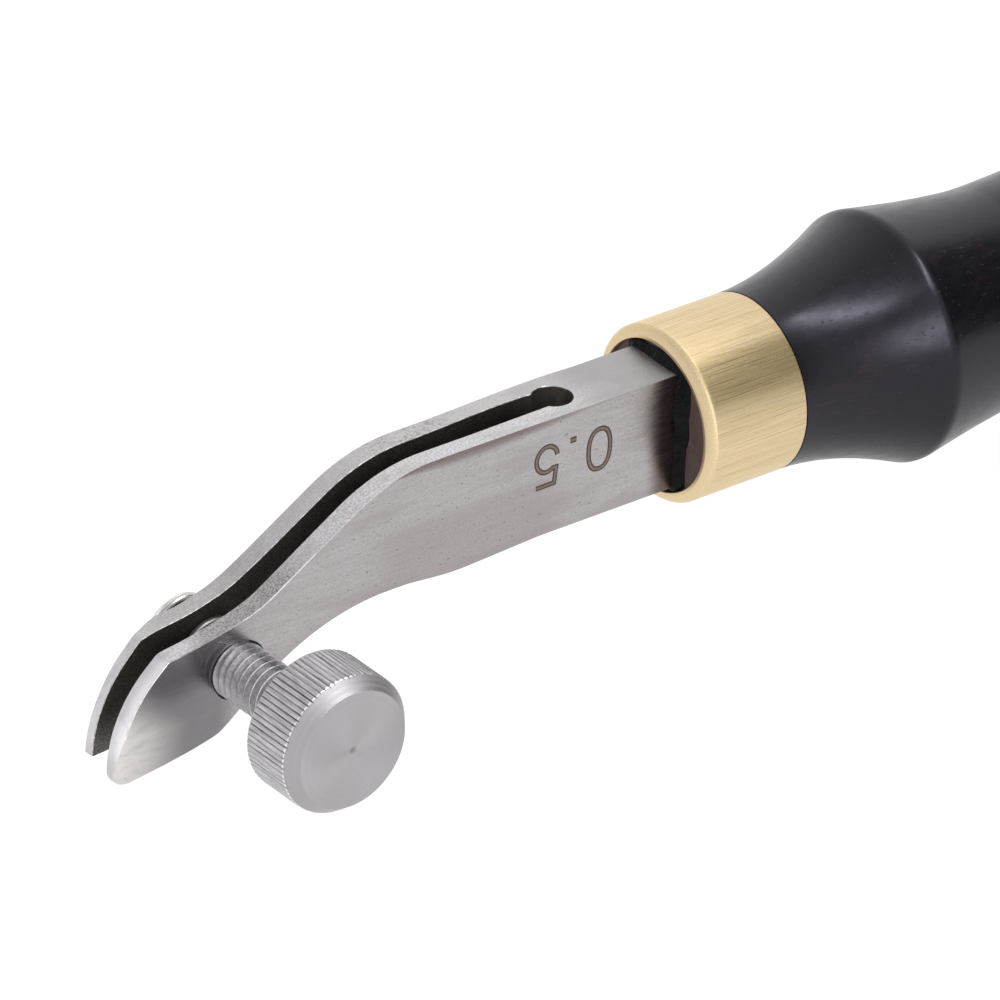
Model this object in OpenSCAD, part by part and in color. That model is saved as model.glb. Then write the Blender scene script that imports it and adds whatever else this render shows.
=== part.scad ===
// Leather creaser: a slotted steel bar in a turned wooden handle. A thumbscrew across the two
// jaws sets the gap between them. Lengths are in millimetres. The origin is the centre of the
// flat on the butt. +X points out of the butt, the jaws point along -X, the thumbscrew's knob
// is on the -Y side and +Z is up. "Ahead" means ahead of the ferrule's mouth, along -X.

/* [Handle] */
// Length of the bare wood, from the ferrule's back to the butt
handle_length = 90; // [75:1:120]
// Radius of the shoulder ridge
shoulder_radius = 10.7; // [9:0.1:13]
// Distance of the shoulder ridge behind the ferrule
shoulder_at = 13; // [9:0.5:18]
// Radius of the waist
waist_radius = 9.1; // [7.6:0.1:10.5]
// Distance of the waist behind the ferrule
waist_at = 25; // [21:0.5:36]
// Radius of the swelling that lies in the palm
palm_radius = 11.6; // [10.6:0.1:14]
// Distance of the swelling behind the ferrule
palm_at = 62; // [48:1:68]
// Radius of the flat turned on the butt
butt_flat_radius = 4.5; // [3:0.1:7]
// Depth of the tenon's face inside the ferrule's mouth
tenon_recess = 0.5; // [0.3:0.1:1.5]

/* [Ferrule] */
// Outer radius of the ferrule
ferrule_radius = 7.5; // [7.2:0.05:9]
// Wall of the ferrule
ferrule_wall = 1.05; // [0.6:0.05:1.2]
// Length of the ferrule
ferrule_length = 9.9; // [7:0.1:14]
// Rounding of the ferrule's front rim
ferrule_rounding = 0.9; // [0.3:0.05:0.9]

/* [Bar] */
// Thickness of the bar, across both jaws
bar_thickness = 5.8; // [5:0.1:6.4]
// Height of the bar's upper edge above the handle's axis
bar_top = 5.1; // [4.4:0.1:5.3]
// Depth of the bar's lower edge below the handle's axis
bar_bottom = 5.3; // [4.4:0.1:5.4]
// Width of the slot between the jaws
slot_width = 1.9; // [1.2:0.1:2.2]
// Radius of the relief hole at the slot's end
relief_radius = 1.6; // [1.3:0.05:1.7]
// Distance of the relief hole's centre ahead of the mouth
relief_at = 10.3; // [8:0.1:16]
// Length of the tang inside the handle
tang_length = 45; // [25:1:60]
// Height of the tang
tang_height = 6; // [4:0.1:6.5]
// Thickness of the tang
tang_thickness = 3.6; // [2.5:0.1:4]

/* [Jaws] */
// Distance of the upper edge's downward bend ahead of the mouth
bend_at = 28.75; // [24:0.25:32]
// Distance of the upper edge's second bend ahead of the mouth
dip_at = 41.4; // [39:0.2:43]
// Depth of that second bend below the handle's axis
dip_depth = 2.75; // [2:0.05:3.5]
// Distance of the tip's upper corner ahead of the mouth
brow_at = 49.85; // [48.5:0.05:51]
// Depth of the tip's upper corner below the handle's axis
brow_depth = 4.75; // [4:0.05:5.5]
// Reach of the tip ahead of the mouth
tip_reach = 54.5; // [53.5:0.1:58]
// Depth of the near jaw's toe below the handle's axis
near_toe_depth = 15.8; // [14.6:0.1:18]
// Depth of the far jaw's toe, which is cut off straight, below the handle's axis
far_toe_depth = 13.5; // [13.2:0.1:14.5]
// Distance of the heel's corner ahead of the mouth
heel_at = 45; // [44.2:0.1:46.5]
// Depth of the heel's corner below the handle's axis
heel_depth = 12.8; // [12.2:0.1:13.4]
// Distance of the lower edge's bend ahead of the mouth
belly_bend_at = 35.7; // [32:0.1:37]
// Radius of the tip's front curve
front_radius = 10.75; // [8:0.25:11.5]
// Width of the bevel on the far jaw's front edge
far_bevel = 0.85; // [0.3:0.05:1.2]
// Thickness left at the bottom of the near jaw's tapered toe
toe_land = 0.6; // [0.4:0.05:1.2]
// Height of that taper on the near jaw's outer face
taper_height = 4.15; // [2:0.05:5]

/* [Thumbscrew] */
// Distance of the screw's axis ahead of the mouth
screw_at = 43.2; // [42.6:0.1:44]
// Depth of the screw's axis below the handle's axis
screw_depth = 7.55; // [7.2:0.05:7.9]
// Outer radius of the thread
thread_radius = 2.45; // [2:0.05:2.6]
// Pitch of the thread
thread_pitch = 0.8; // [0.5:0.1:1]
// Bare thread between the near jaw and the knob
thread_shown = 8.75; // [6:0.25:12]
// Radius of the knob
knob_radius = 5.85; // [5:0.05:8]
// Length of the knob
knob_length = 5.9; // [4:0.1:9]
// Chamfer of the knob's front edge
knob_chamfer = 0.95; // [0.4:0.05:1.5]
// Number of knurl teeth
knurl_teeth = 80; // [48:4:96]
// Depth of the knurl's grooves
knurl_depth = 0.2; // [0.1:0.02:0.35]
// Radius of the plain journal in the far jaw
journal_radius = 1.5; // [1.2:0.05:1.7]

/* [Retaining collar] */
// Radius of the collar's hub
hub_radius = 2.2; // [2:0.05:2.6]
// Length of the collar's hub
hub_length = 1.4; // [0.8:0.1:2.5]
// Radius of the collar's flange
flange_radius = 3; // [2.8:0.05:4]
// Thickness of the collar's flange
flange_thickness = 0.9; // [0.6:0.05:1.5]

/* [Fits] */
// Glue line around the tenon and the shank's neck
glue_line = 0.02; // [0.01:0.01:0.1]
// Running clearance of the jaws' rounded roots
root_clearance = 0.04; // [0.02:0.01:0.1]
// Radial clearance of the screw's journal
journal_clearance = 0.05; // [0.02:0.01:0.1]
// End play of the screw on each side of the far jaw
end_play = 0.05; // [0.02:0.01:0.1]
// Radial room around the thread in the near jaw, for the jaw's tilt
thread_clearance = 0.17; // [0.14:0.01:0.25]

/* [Hidden] */
$fn = 96;

ebony = "#1c1613";
brass = "#d9b767";
steel = "#b4b0ad";
polished_steel = "#c9c6c4";
black_epoxy = "#141210";

// Overshoot of a cutting shape past the surface that it cuts
past = 1;
// Steps in each rounded corner of an outline and in each curve of the handle
arc_steps = 8;
curve_steps = 14;

// Places along the handle
mouth_x = -(handle_length + ferrule_length);
ferrule_back_x = -handle_length;
tenon_x = mouth_x + tenon_recess;
shoulder_x = ferrule_back_x + shoulder_at;
waist_x = ferrule_back_x + waist_at;
palm_x = ferrule_back_x + palm_at;
// How the wood's curves hollow or fill out: the cove, the waist and the butt
cove_power = 1.8;
waist_power = 1.4;
butt_power = 2.4;
ferrule_bore = ferrule_radius - ferrule_wall;
tenon_radius = ferrule_bore - glue_line;

// Tang and the hole that is bored for it
tang_end_x = tenon_x + tang_length;
tang_room = 0.6;
tang_end_room = 2;
bore_radius = norm([tang_height, tang_thickness]) / 2 + tang_room;
bore_end_x = tang_end_x + tang_end_room;

// The shank is eased a little where it enters the glue, from just ahead of the mouth
neck_easing = 0.15;
neck_start_ahead = 0.2;
bead_width = 1.2;
bead_front_gap = 0.05;

// Jaws: each one turns on its narrowest place, beside the relief hole
half_bar = bar_thickness / 2;
half_slot = slot_width / 2;
jaw_thickness = half_bar - half_slot;
relief_x = mouth_x - relief_at;
pivot_y = (relief_radius + half_bar) / 2;
root_inset = 0.1;
root_radius = half_bar - relief_radius - root_inset;
tip_x = mouth_x - tip_reach;

// Roundings of the jaws' corners, in order from the upper bend to the lower one
bend_rounding = 15;
dip_rounding = 10;
brow_rounding = 1;
toe_rounding = 1.5;
heel_rounding = 3;
belly_rounding = 20;
// Slope of the brow, and depth of the corner where it would meet the tip's upright front
brow_slope = 42;
front_turn = 90 - brow_slope;
front_corner_depth = brow_depth + (tip_reach - brow_at) * tan(brow_slope);
// The front's curve is no longer than the straight front has room for above the toe's rounding
toe_turn = 90 + atan2(near_toe_depth - heel_depth, tip_reach - heel_at);
front_room = near_toe_depth - front_corner_depth - toe_rounding * tan(toe_turn / 2);
front_curve = min(front_radius, front_room / tan(front_turn / 2));
// Length of the far jaw's bevelled tip
bevel_length = 8.5;
// How far the near jaw's taper turns towards the tip
taper_skew = 0.22;

// Screw, along Y
screw_x = mouth_x - screw_at;
knob_back_y = -(half_bar + thread_shown);
knob_front_y = knob_back_y - knob_length;
// Depth of a metric thread, as a share of its pitch
thread_depth_share = 0.54;
thread_root_radius = thread_radius - thread_depth_share * thread_pitch;
screw_shoulder_y = half_slot - end_play;
collar_y = half_bar + end_play;
flange_y = collar_y + hub_length;
collar_end_y = flange_y + flange_thickness;
thread_count = floor((screw_shoulder_y - knob_back_y) / thread_pitch);
peen_overlap = 0.35;
peen_height = 0.45;
peen_chamfer = 0.35;
dimple_radius = 0.6;

function unit(v) = v / norm(v);

// Points of the arc that rounds one corner of an outline
function corner_arc(before, corner, after, radius) =
    let (back = unit(before - corner))
    let (ahead = unit(after - corner))
    let (half = acos(back * ahead) / 2)
    let (centre = corner + unit(back + ahead) * radius / sin(half))
    let (start = corner + back * radius / tan(half) - centre)
    let (finish = corner + ahead * radius / tan(half) - centre)
    let (start_angle = atan2(start[1], start[0]))
    let (end_angle = atan2(finish[1], finish[0]))
    let (sweep = (end_angle - start_angle + 900) % 360 - 180)
    [for (i = [0:arc_steps])
        let (angle = start_angle + sweep * i / arc_steps)
        centre + radius * [cos(angle), sin(angle)]];

// Outline through corners given as [across, up, rounding]
function rounded_outline(corners) =
    let (count = len(corners))
    let (flat = [for (c = corners) [c[0], c[1]]])
    [for (i = [0:count - 1])
        each corners[i][2] == 0
            ? [flat[i]]
            : corner_arc(flat[(i + count - 1) % count], flat[i], flat[(i + 1) % count], corners[i][2])];

// Side outline of a jaw, from its root forward
function jaw_outline() =
    let (root_ahead = relief_at - root_radius - past)
    let (corners = [
        [root_ahead, bar_top, 0],
        [bend_at, bar_top, bend_rounding],
        [dip_at, -dip_depth, dip_rounding],
        [brow_at, -brow_depth, brow_rounding],
        [tip_reach, -front_corner_depth, front_curve],
        [tip_reach, -near_toe_depth, toe_rounding],
        [heel_at, -heel_depth, heel_rounding],
        [belly_bend_at, -bar_bottom, belly_rounding],
        [root_ahead, -bar_bottom, 0]])
    rounded_outline([for (c = corners) [mouth_x - c[0], c[1], c[2]]]);

// Radius of the wood at a place along X
function wood_radius(x) =
    x < shoulder_x
        ? let (t = (x - ferrule_back_x) / shoulder_at)
            ferrule_radius + (shoulder_radius - ferrule_radius) * pow(t, cove_power)
    : x < waist_x
        ? let (t = (x - shoulder_x) / (waist_x - shoulder_x))
            waist_radius + (shoulder_radius - waist_radius) * pow(1 - t, waist_power)
    : x < palm_x
        ? let (t = (x - waist_x) / (palm_x - waist_x))
            waist_radius + (palm_radius - waist_radius) * (1 - cos(180 * t)) / 2
    : let (t = (x - palm_x) / -palm_x)
        butt_flat_radius + (palm_radius - butt_flat_radius) * sqrt(max(0, 1 - pow(t, butt_power)));

// Points of the wood's curve between two places, close together near the far end
function wood_curve(from, to, bunching) =
    [for (i = [1:curve_steps])
        let (t = 1 - pow(1 - i / curve_steps, bunching))
        let (x = from + (to - from) * t)
        [wood_radius(x), x]];

module turned_on_x(outline) {
    rotate([0, 90, 0])
        rotate_extrude()
            polygon(outline);
}

module turned_on_screw(outline) {
    translate([screw_x, 0, -screw_depth])
        rotate([-90, 0, 0])
            rotate_extrude()
                polygon(outline);
}

module handle() {
    color(ebony)
        turned_on_x(concat(
            [[bore_radius, tenon_x], [tenon_radius, tenon_x], [tenon_radius, ferrule_back_x]],
            [[ferrule_radius, ferrule_back_x]],
            wood_curve(ferrule_back_x, shoulder_x, 1),
            wood_curve(shoulder_x, waist_x, 1),
            wood_curve(waist_x, palm_x, 1),
            wood_curve(palm_x, 0, 2),
            [[0, 0], [0, bore_end_x], [bore_radius, bore_end_x]]));
}

module ferrule() {
    inner_rounding = 0.1;
    color(brass)
        turned_on_x(rounded_outline([
            [ferrule_bore, mouth_x, inner_rounding],
            [ferrule_radius, mouth_x, ferrule_rounding],
            [ferrule_radius, ferrule_back_x, 0],
            [ferrule_bore, ferrule_back_x, 0]]));
}

// Block around the handle's axis, from one place along X to another
module axis_block(from, to, thickness, top, bottom) {
    translate([from, -thickness / 2, -bottom])
        cube([to - from, thickness, top + bottom]);
}

module shank_neck(from, to, growth) {
    axis_block(from, to, bar_thickness + 2 * growth, bar_top + growth, bar_bottom + growth);
}

module tang(growth, extra_length) {
    half_height = tang_height / 2 + growth;
    axis_block(tenon_x, tang_end_x + extra_length, tang_thickness + 2 * growth, half_height, half_height);
}

// Glue that beds the tang in its hole, with a bead around the shank in the mouth
module epoxy() {
    bead_x = mouth_x + bead_front_gap;
    color(black_epoxy)
        difference() {
            union() {
                turned_on_x([
                    [0, tenon_x],
                    [bore_radius - glue_line, tenon_x],
                    [bore_radius - glue_line, bore_end_x],
                    [0, bore_end_x]]);
                intersection() {
                    shank_neck(bead_x, tenon_x, bead_width);
                    turned_on_x([[0, bead_x], [tenon_radius, bead_x], [tenon_radius, tenon_x], [0, tenon_x]]);
                }
            }
            shank_neck(bead_x - past, tenon_x, glue_line - neck_easing);
            tang(glue_line, glue_line);
        }
}

// Upright cylinder through the whole bar, beside the relief hole or in its middle
module upright(y, radius) {
    translate([relief_x, y, -bar_bottom - past])
        cylinder(r = radius, h = bar_bottom + bar_top + 2 * past);
}

// Solid root of the bar with its tang. The sockets at its front hold the jaws' rounded roots.
module shank() {
    neck_x = mouth_x - neck_start_ahead;
    color(steel)
        union() {
            difference() {
                axis_block(relief_x, neck_x, bar_thickness, bar_top, bar_bottom);
                upright(0, relief_radius);
                for (side = [-1, 1])
                    upright(side * pivot_y, root_radius + root_clearance);
            }
            shank_neck(neck_x, tenon_x, -neck_easing);
            tang(0, 0);
        }
}

// Side outline of a jaw as a plate, as thick as the jaw
module jaw_plate(side) {
    high_y = side > 0 ? half_bar : -half_slot;
    translate([0, high_y, 0])
        rotate([90, 0, 0])
            linear_extrude(jaw_thickness)
                polygon(jaw_outline());
}

// One jaw: a plate with a rounded root, hollowed by the relief hole
module jaw_blank(side) {
    difference() {
        intersection() {
            jaw_plate(side);
            union() {
                translate([tip_x - past, -bar_thickness, -near_toe_depth - past])
                    cube([relief_x - tip_x + past, 2 * bar_thickness, near_toe_depth + bar_top + 2 * past]);
                upright(side * pivot_y, root_radius);
            }
        }
        upright(0, relief_radius);
    }
}

// Cross hole for the screw
module screw_hole(radius) {
    translate([screw_x, half_bar + past, -screw_depth])
        rotate([90, 0, 0])
            cylinder(r = radius, h = bar_thickness + 2 * past);
}

// Everything beyond a slanting plane through a point, as a cutter
module beyond_plane(point, normal) {
    size = tip_reach;
    translate(point)
        rotate([0, acos(unit(normal)[2]), atan2(normal[1], normal[0])])
            translate([-size / 2, -size / 2, 0])
                cube(size);
}

// Its outer face tapers towards the toe
module near_jaw() {
    toe_point = [tip_x + toe_rounding, -half_slot - toe_land, -near_toe_depth];
    taper_facing = [-taper_skew, -taper_height, toe_land - jaw_thickness];
    color(polished_steel)
        difference() {
            jaw_blank(-1);
            screw_hole(thread_radius + thread_clearance);
            beyond_plane(toe_point, taper_facing);
        }
}

// Block over the far jaw's tip, hollowed by a cone, so that a bevel follows the front's curve
module far_bevel_cutter() {
    centre_drop = front_curve * tan(front_turn / 2);
    low_y = half_bar - far_bevel;
    depth = far_bevel + past;
    difference() {
        translate([tip_x - past, low_y, -near_toe_depth - past])
            cube([bevel_length + past, depth, near_toe_depth]);
        translate([tip_x + front_curve, low_y - past, -front_corner_depth - centre_drop])
            rotate([-90, 0, 0])
                cylinder(r1 = front_curve + past, r2 = front_curve - depth, h = depth + past);
    }
}

module far_jaw() {
    color(polished_steel)
        difference() {
            jaw_blank(1);
            screw_hole(journal_radius + journal_clearance);
            far_bevel_cutter();
            translate([tip_x - past, 0, -near_toe_depth - past])
                cube([tip_reach - belly_bend_at, bar_thickness, near_toe_depth - far_toe_depth + past]);
        }
}

// Straight knurl as a toothed outline
module knurl_plan() {
    polygon([for (i = [0:2 * knurl_teeth - 1])
        let (angle = 180 * i / knurl_teeth)
        let (radius = knob_radius - (i % 2) * knurl_depth)
        radius * [cos(angle), sin(angle)]]);
}

module knob() {
    back_chamfer = knob_chamfer / 3;
    intersection() {
        translate([screw_x, knob_back_y, -screw_depth])
            rotate([90, 0, 0])
                linear_extrude(knob_length)
                    knurl_plan();
        turned_on_screw([
            [0, knob_front_y + dimple_radius],
            [dimple_radius, knob_front_y],
            [knob_radius - knob_chamfer, knob_front_y],
            [knob_radius + past, knob_front_y + knob_chamfer + past],
            [knob_radius + past, knob_back_y - back_chamfer - past],
            [knob_radius - back_chamfer, knob_back_y],
            [0, knob_back_y]]);
    }
}

// Threaded rod with a plain journal and a peened end. Rings stand in for the helix.
module screw_rod() {
    flat = thread_pitch / 8;
    first_y = screw_shoulder_y - thread_count * thread_pitch;
    start_y = knob_back_y - past;
    peen_radius = journal_radius + peen_overlap;
    turned_on_screw(concat(
        [[0, start_y], [thread_root_radius, start_y]],
        [for (i = [0:thread_count - 1])
            let (y = first_y + i * thread_pitch)
            each [
                [thread_root_radius, y + flat],
                [thread_radius, y + thread_pitch / 2 - flat / 2],
                [thread_radius, y + thread_pitch / 2 + flat / 2],
                [thread_root_radius, y + thread_pitch - flat]]],
        [[thread_root_radius, screw_shoulder_y], [journal_radius, screw_shoulder_y]],
        [[journal_radius, collar_end_y], [peen_radius, collar_end_y]],
        [[peen_radius - peen_chamfer, collar_end_y + peen_height], [0, collar_end_y + peen_height]]));
}

module thumbscrew() {
    color(steel)
        union() {
            knob();
            screw_rod();
        }
}

// Flanged collar held on the journal by the peened end, outside the far jaw
module retaining_collar() {
    bore = journal_radius + glue_line;
    rim_rounding = flange_thickness / 3;
    color(polished_steel)
        turned_on_screw(rounded_outline([
            [bore, collar_y, 0],
            [hub_radius, collar_y, 0],
            [hub_radius, flange_y, 0],
            [flange_radius, flange_y, rim_rounding],
            [flange_radius, collar_end_y, rim_rounding],
            [bore, collar_end_y, 0]]));
}

handle();
ferrule();
epoxy();
shank();
near_jaw();
far_jaw();
thumbscrew();
retaining_collar();
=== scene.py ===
"""Looks of the leather creaser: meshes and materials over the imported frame, a floor, lights and a camera.

Shapes are worked out in millimetres and stored in metres. Ahead means ahead of the ferrule's mouth.
"""

import math

import bmesh
import bpy
import numpy as np
from mathutils import Matrix, Vector


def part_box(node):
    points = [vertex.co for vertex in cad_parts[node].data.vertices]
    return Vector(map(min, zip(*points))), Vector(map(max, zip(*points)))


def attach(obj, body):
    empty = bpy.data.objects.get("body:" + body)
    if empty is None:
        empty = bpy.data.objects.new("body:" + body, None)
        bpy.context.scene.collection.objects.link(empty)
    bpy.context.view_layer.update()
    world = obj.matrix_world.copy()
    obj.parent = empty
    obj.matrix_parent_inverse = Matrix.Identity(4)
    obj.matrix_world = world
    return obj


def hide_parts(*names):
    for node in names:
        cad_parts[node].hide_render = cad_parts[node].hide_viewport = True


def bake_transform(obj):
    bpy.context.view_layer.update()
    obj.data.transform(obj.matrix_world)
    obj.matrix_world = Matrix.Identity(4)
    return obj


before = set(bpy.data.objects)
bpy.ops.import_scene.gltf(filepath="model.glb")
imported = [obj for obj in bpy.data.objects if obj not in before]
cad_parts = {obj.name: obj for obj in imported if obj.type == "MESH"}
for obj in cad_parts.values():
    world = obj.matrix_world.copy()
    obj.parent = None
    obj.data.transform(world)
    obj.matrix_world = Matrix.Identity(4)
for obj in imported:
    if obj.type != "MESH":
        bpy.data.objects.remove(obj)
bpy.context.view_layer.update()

MM = 0.001

# Places and sizes that the frame gives
FERRULE_LOW, FERRULE_HIGH = np.array(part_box("ferrule")) / MM
SHANK_LOW, SHANK_HIGH = np.array(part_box("shank")) / MM
KNOB_LOW, KNOB_HIGH = np.array(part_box("thumbscrew")) / MM
COLLAR_LOW, COLLAR_HIGH = np.array(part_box("retaining_collar")) / MM
MOUTH_X, FERRULE_BACK_X = FERRULE_LOW[0], FERRULE_HIGH[0]
FERRULE_RADIUS = FERRULE_HIGH[2]
TENON_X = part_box("handle")[0][0] / MM
HALF_BAR = SHANK_HIGH[1]
BAR_TOP, BAR_BOTTOM = SHANK_HIGH[2], -SHANK_LOW[2]
SCREW_X = (KNOB_LOW[0] + KNOB_HIGH[0]) / 2
SCREW_Z = (KNOB_LOW[2] + KNOB_HIGH[2]) / 2

# Colours, as linear red, green and blue
STEEL = (0.405, 0.383, 0.386)
BEVEL_DARK_STEEL = (0.18, 0.142, 0.138)
TOP_STEEL = (0.55, 0.53, 0.54)
POLISHED_STEEL = (0.62, 0.605, 0.62)
WEAR_AND_SHEEN_STEEL = (0.72, 0.70, 0.71)
BRIGHT_STEEL = (0.92, 0.91, 0.92)
SLOT_STEEL = (0.06, 0.053, 0.05)
KNOB_STEEL = (0.43, 0.415, 0.43)
THREAD_STEEL = (0.40, 0.39, 0.41)
BRASS = (0.75, 0.60, 0.37)
EBONY = (0.0036, 0.0034, 0.0046)
EBONY_STREAK = (0.022, 0.009, 0.008)
END_GRAIN = (0.14, 0.092, 0.085)
GLUE = (0.004, 0.004, 0.005)
ETCHED = (0.175, 0.14, 0.115)
ETCHED_RIM = (0.06, 0.04, 0.033)


# Camera

CAMERA_AZIMUTH = math.radians(-39.138)
CAMERA_ELEVATION = math.radians(30.029)
CAMERA_ROLL = math.radians(2.309)
CAMERA_TARGET = Vector((-115.223, 0, -2.757)) * MM
CAMERA_DISTANCE = 951.21 * MM
CAMERA_LENS, CAMERA_CLIP = 432, (0.01, 20)


def add_object(name, data):
    placed = bpy.data.objects.new(name, data)
    bpy.context.scene.collection.objects.link(placed)
    return placed


def make_camera():
    data = bpy.data.cameras.new("camera")
    data.lens = CAMERA_LENS
    data.clip_start, data.clip_end = CAMERA_CLIP
    camera = add_object("camera", data)
    camera.matrix_world = (
        Matrix.Translation(CAMERA_TARGET)
        @ Matrix.Rotation(CAMERA_AZIMUTH, 4, "Z")
        @ Matrix.Rotation(math.pi / 2 - CAMERA_ELEVATION, 4, "X")
        @ Matrix.Rotation(CAMERA_ROLL, 4, "Z")
        @ Matrix.Translation((0, 0, CAMERA_DISTANCE))
    )
    bpy.context.scene.camera = camera


make_camera()


# Node materials

class Tree:
    """A node tree, with a short method for each kind of node that the materials and the world use."""

    NOISE_RANGE = (0.3, 0.7)

    def __init__(self, tree):
        self.tree = tree

    def put(self, node, socket, value):
        """Sets a node's socket, or links another node's output to it."""
        if isinstance(value, bpy.types.NodeSocket):
            self.tree.links.new(value, node.inputs[socket])
        else:
            node.inputs[socket].default_value = value

    def add(self, kind, inputs=None, **settings):
        node = self.tree.nodes.new(kind)
        for key, value in settings.items():
            setattr(node, key, value)
        for key, value in (inputs or {}).items():
            self.put(node, key, value)
        return node

    def parts(self, vector):
        """Outputs X, Y and Z of a vector."""
        return self.add("ShaderNodeSeparateXYZ", {0: vector}).outputs

    def math(self, operation, a, b=0.0):
        return self.add("ShaderNodeMath", {0: a, 1: b}, operation=operation).outputs[0]

    def times(self, value, *factors):
        for factor in factors:
            value = self.math("MULTIPLY", value, factor)
        return value

    def span(self, value, low, high, to_low=0.0, to_high=1.0):
        """Value from low to high, eased, as a share from to_low to to_high."""
        inputs = {"Value": value, "From Min": low, "From Max": high, "To Min": to_low, "To Max": to_high}
        return self.add("ShaderNodeMapRange", inputs, interpolation_type="SMOOTHSTEP").outputs["Result"]

    def between(self, noise, low, high):
        """The range that a noise mostly keeps to, as a value from low to high."""
        return self.span(noise, *self.NOISE_RANGE, low, high)


class Nodes(Tree):
    """A material's node tree around its shader."""

    BRUSHED = 0.6

    def __init__(self, name, color, roughness, metallic=0.0):
        self.tone = color
        self.material = bpy.data.materials.new(name)
        self.material.use_nodes = True
        super().__init__(self.material.node_tree)
        self.shader = self.tree.nodes["Principled BSDF"]
        self.set("Base Color", (*color, 1))
        self.set("Roughness", roughness)
        self.set("Metallic", metallic)

    def set(self, socket, value):
        self.put(self.shader, socket, value)

    def place(self, scale=(1, 1, 1)):
        """Position on the piece in millimetres, stretched by a scale along each axis."""
        inputs = {0: self.add("ShaderNodeTexCoord").outputs["Object"], 1: [s / MM for s in scale]}
        return self.add("ShaderNodeVectorMath", inputs, operation="MULTIPLY").outputs[0]

    def axis(self, letter):
        """Position along one axis in millimetres."""
        return self.parts(self.place())[letter]

    def ahead(self):
        """Distance ahead of the ferrule's mouth in millimetres."""
        return self.math("SUBTRACT", MOUTH_X, self.axis("X"))

    def upward(self):
        """How far the surface faces up, from -1 to 1."""
        return self.parts(self.add("ShaderNodeNewGeometry").outputs["Normal"])["Z"]

    def noise(self, scale, detail=3.0, roughness=0.55, distortion=0.0):
        """Noise of a scale in features a millimetre, one for all axes or one for each."""
        scale = scale if isinstance(scale, tuple) else (scale, scale, scale)
        inputs = {"Vector": self.place(scale), "Scale": 1.0, "Detail": detail}
        inputs.update({"Roughness": roughness, "Distortion": distortion})
        return self.add("ShaderNodeTexNoise", inputs).outputs["Fac"]

    def mix(self, share, color_a, color_b):
        colors = [c if isinstance(c, bpy.types.NodeSocket) else (*c, 1) for c in (color_a, color_b)]
        inputs = {"Factor": share, 6: colors[0], 7: colors[1]}
        return self.add("ShaderNodeMix", inputs, data_type="RGBA").outputs[2]

    def paint(self, share, color):
        """Lays a colour over the tone so far."""
        self.tone = self.mix(share, self.tone, color)

    def bump(self, height, depth, strength=1.0, after=None):
        """Surface relief of a depth in millimetres, on top of another relief where one is given."""
        inputs = {"Height": height, "Distance": depth * MM, "Strength": strength}
        if after is not None:
            inputs["Normal"] = after
        return self.add("ShaderNodeBump", inputs).outputs["Normal"]

    def brush(self, axis):
        """Stretches the gloss around an axis of the piece."""
        self.set("Anisotropic", self.BRUSHED)
        self.set("Tangent", self.add("ShaderNodeTangent", direction_type="RADIAL", axis=axis).outputs[0])

    def dress(self, normal=None, roughness=None):
        """Gives the shader what varies over the surface, and returns the material."""
        for socket, value in (("Base Color", self.tone), ("Normal", normal), ("Roughness", roughness)):
            if value is not None:
                self.set(socket, value)
        return self.material


def shade(color, factor):
    return tuple(factor * c for c in color)


def steel_side():
    """Side of the bar: ground lengthwise, darker on the upturned bevel, given a polish at the tip; painted
    shade and reflection near the screw; stained by the glue at the mouth, with a painted reflection of the
    glue and wood there.
    """
    n = Nodes("steel_side", STEEL, 0.3, 1.0)
    streaks = n.noise((0.35, 7, 7), detail=5)
    fine = n.noise((1.5, 40, 40), detail=2)
    grain = n.noise((5, 7, 7), detail=3, roughness=0.7)
    blotches = n.noise((0.10, 0.45, 0.45), detail=3)
    specks = n.span(n.noise((2.2, 3.8, 3.8), detail=2), 0.665, 0.70)
    ahead, up = n.ahead(), n.axis("Z")
    polish = n.span(ahead, 42.5, 45.5)
    n.paint(n.span(streaks, 0.35, 0.65), shade(STEEL, 0.90))
    n.paint(n.span(grain, 0.4, 0.75), (0.47, 0.445, 0.45))
    n.paint(n.span(blotches, 0.45, 0.7, 0.0, 0.6), (0.335, 0.30, 0.305))
    low_middle = n.times(n.span(up, 0.5, -0.5), n.span(ahead, 10, 14), n.span(ahead, 33, 27))
    n.paint(n.times(low_middle, 0.45), (0.30, 0.265, 0.27))
    # Painted shade and reflection on the tip's polish: dark next to the knob and the screw, lighter towards
    # the toe, dimmer high up by the brow
    above_toe = n.math("MAXIMUM", n.math("ADD", up, 10.5), 0.0)
    towards_toe = n.math("SUBTRACT", ahead, n.times(above_toe, 1.25))
    polish_and_painted_reflection = n.mix(n.span(towards_toe, 47.5, 54.5), (0.215, 0.207, 0.214), (0.68, 0.645, 0.635))
    polish_and_painted_reflection = n.mix(n.span(up, -6.6, -4.8), polish_and_painted_reflection, (0.32, 0.31, 0.31))
    mottle = n.span(n.noise((0.5, 1.3, 1.3), detail=4), 0.45, 0.7, 0.0, 0.25)
    n.paint(polish, n.mix(mottle, polish_and_painted_reflection, (0.26, 0.25, 0.25)))
    # Darker on the bevel's faces that tilt a little upwards, weaker towards the root and none at the tip
    ground_away = n.times(n.span(n.upward(), 0.02, 0.17, 0.0, 0.95), n.span(ahead, 44, 38))
    n.paint(n.times(ground_away, n.span(ahead, 7, 17, 0.35, 1.0)), BEVEL_DARK_STEEL)
    # Glue stain and painted reflection of the dark glue and wood's end, darkening the side close to the
    # mouth
    n.paint(n.span(ahead, 3.0, 1.1, 0.0, 0.85), (0.085, 0.060, 0.055))
    n.paint(n.times(specks, n.span(ahead, 46, 40, 0.15, 0.75)), (0.11, 0.095, 0.09))
    relief = n.math("ADD", streaks, n.times(fine, 0.5))
    roughness = n.math("SUBTRACT", n.between(streaks, 0.25, 0.34), n.times(polish, 0.07))
    return n.dress(n.bump(relief, 0.0020), roughness)


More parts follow.
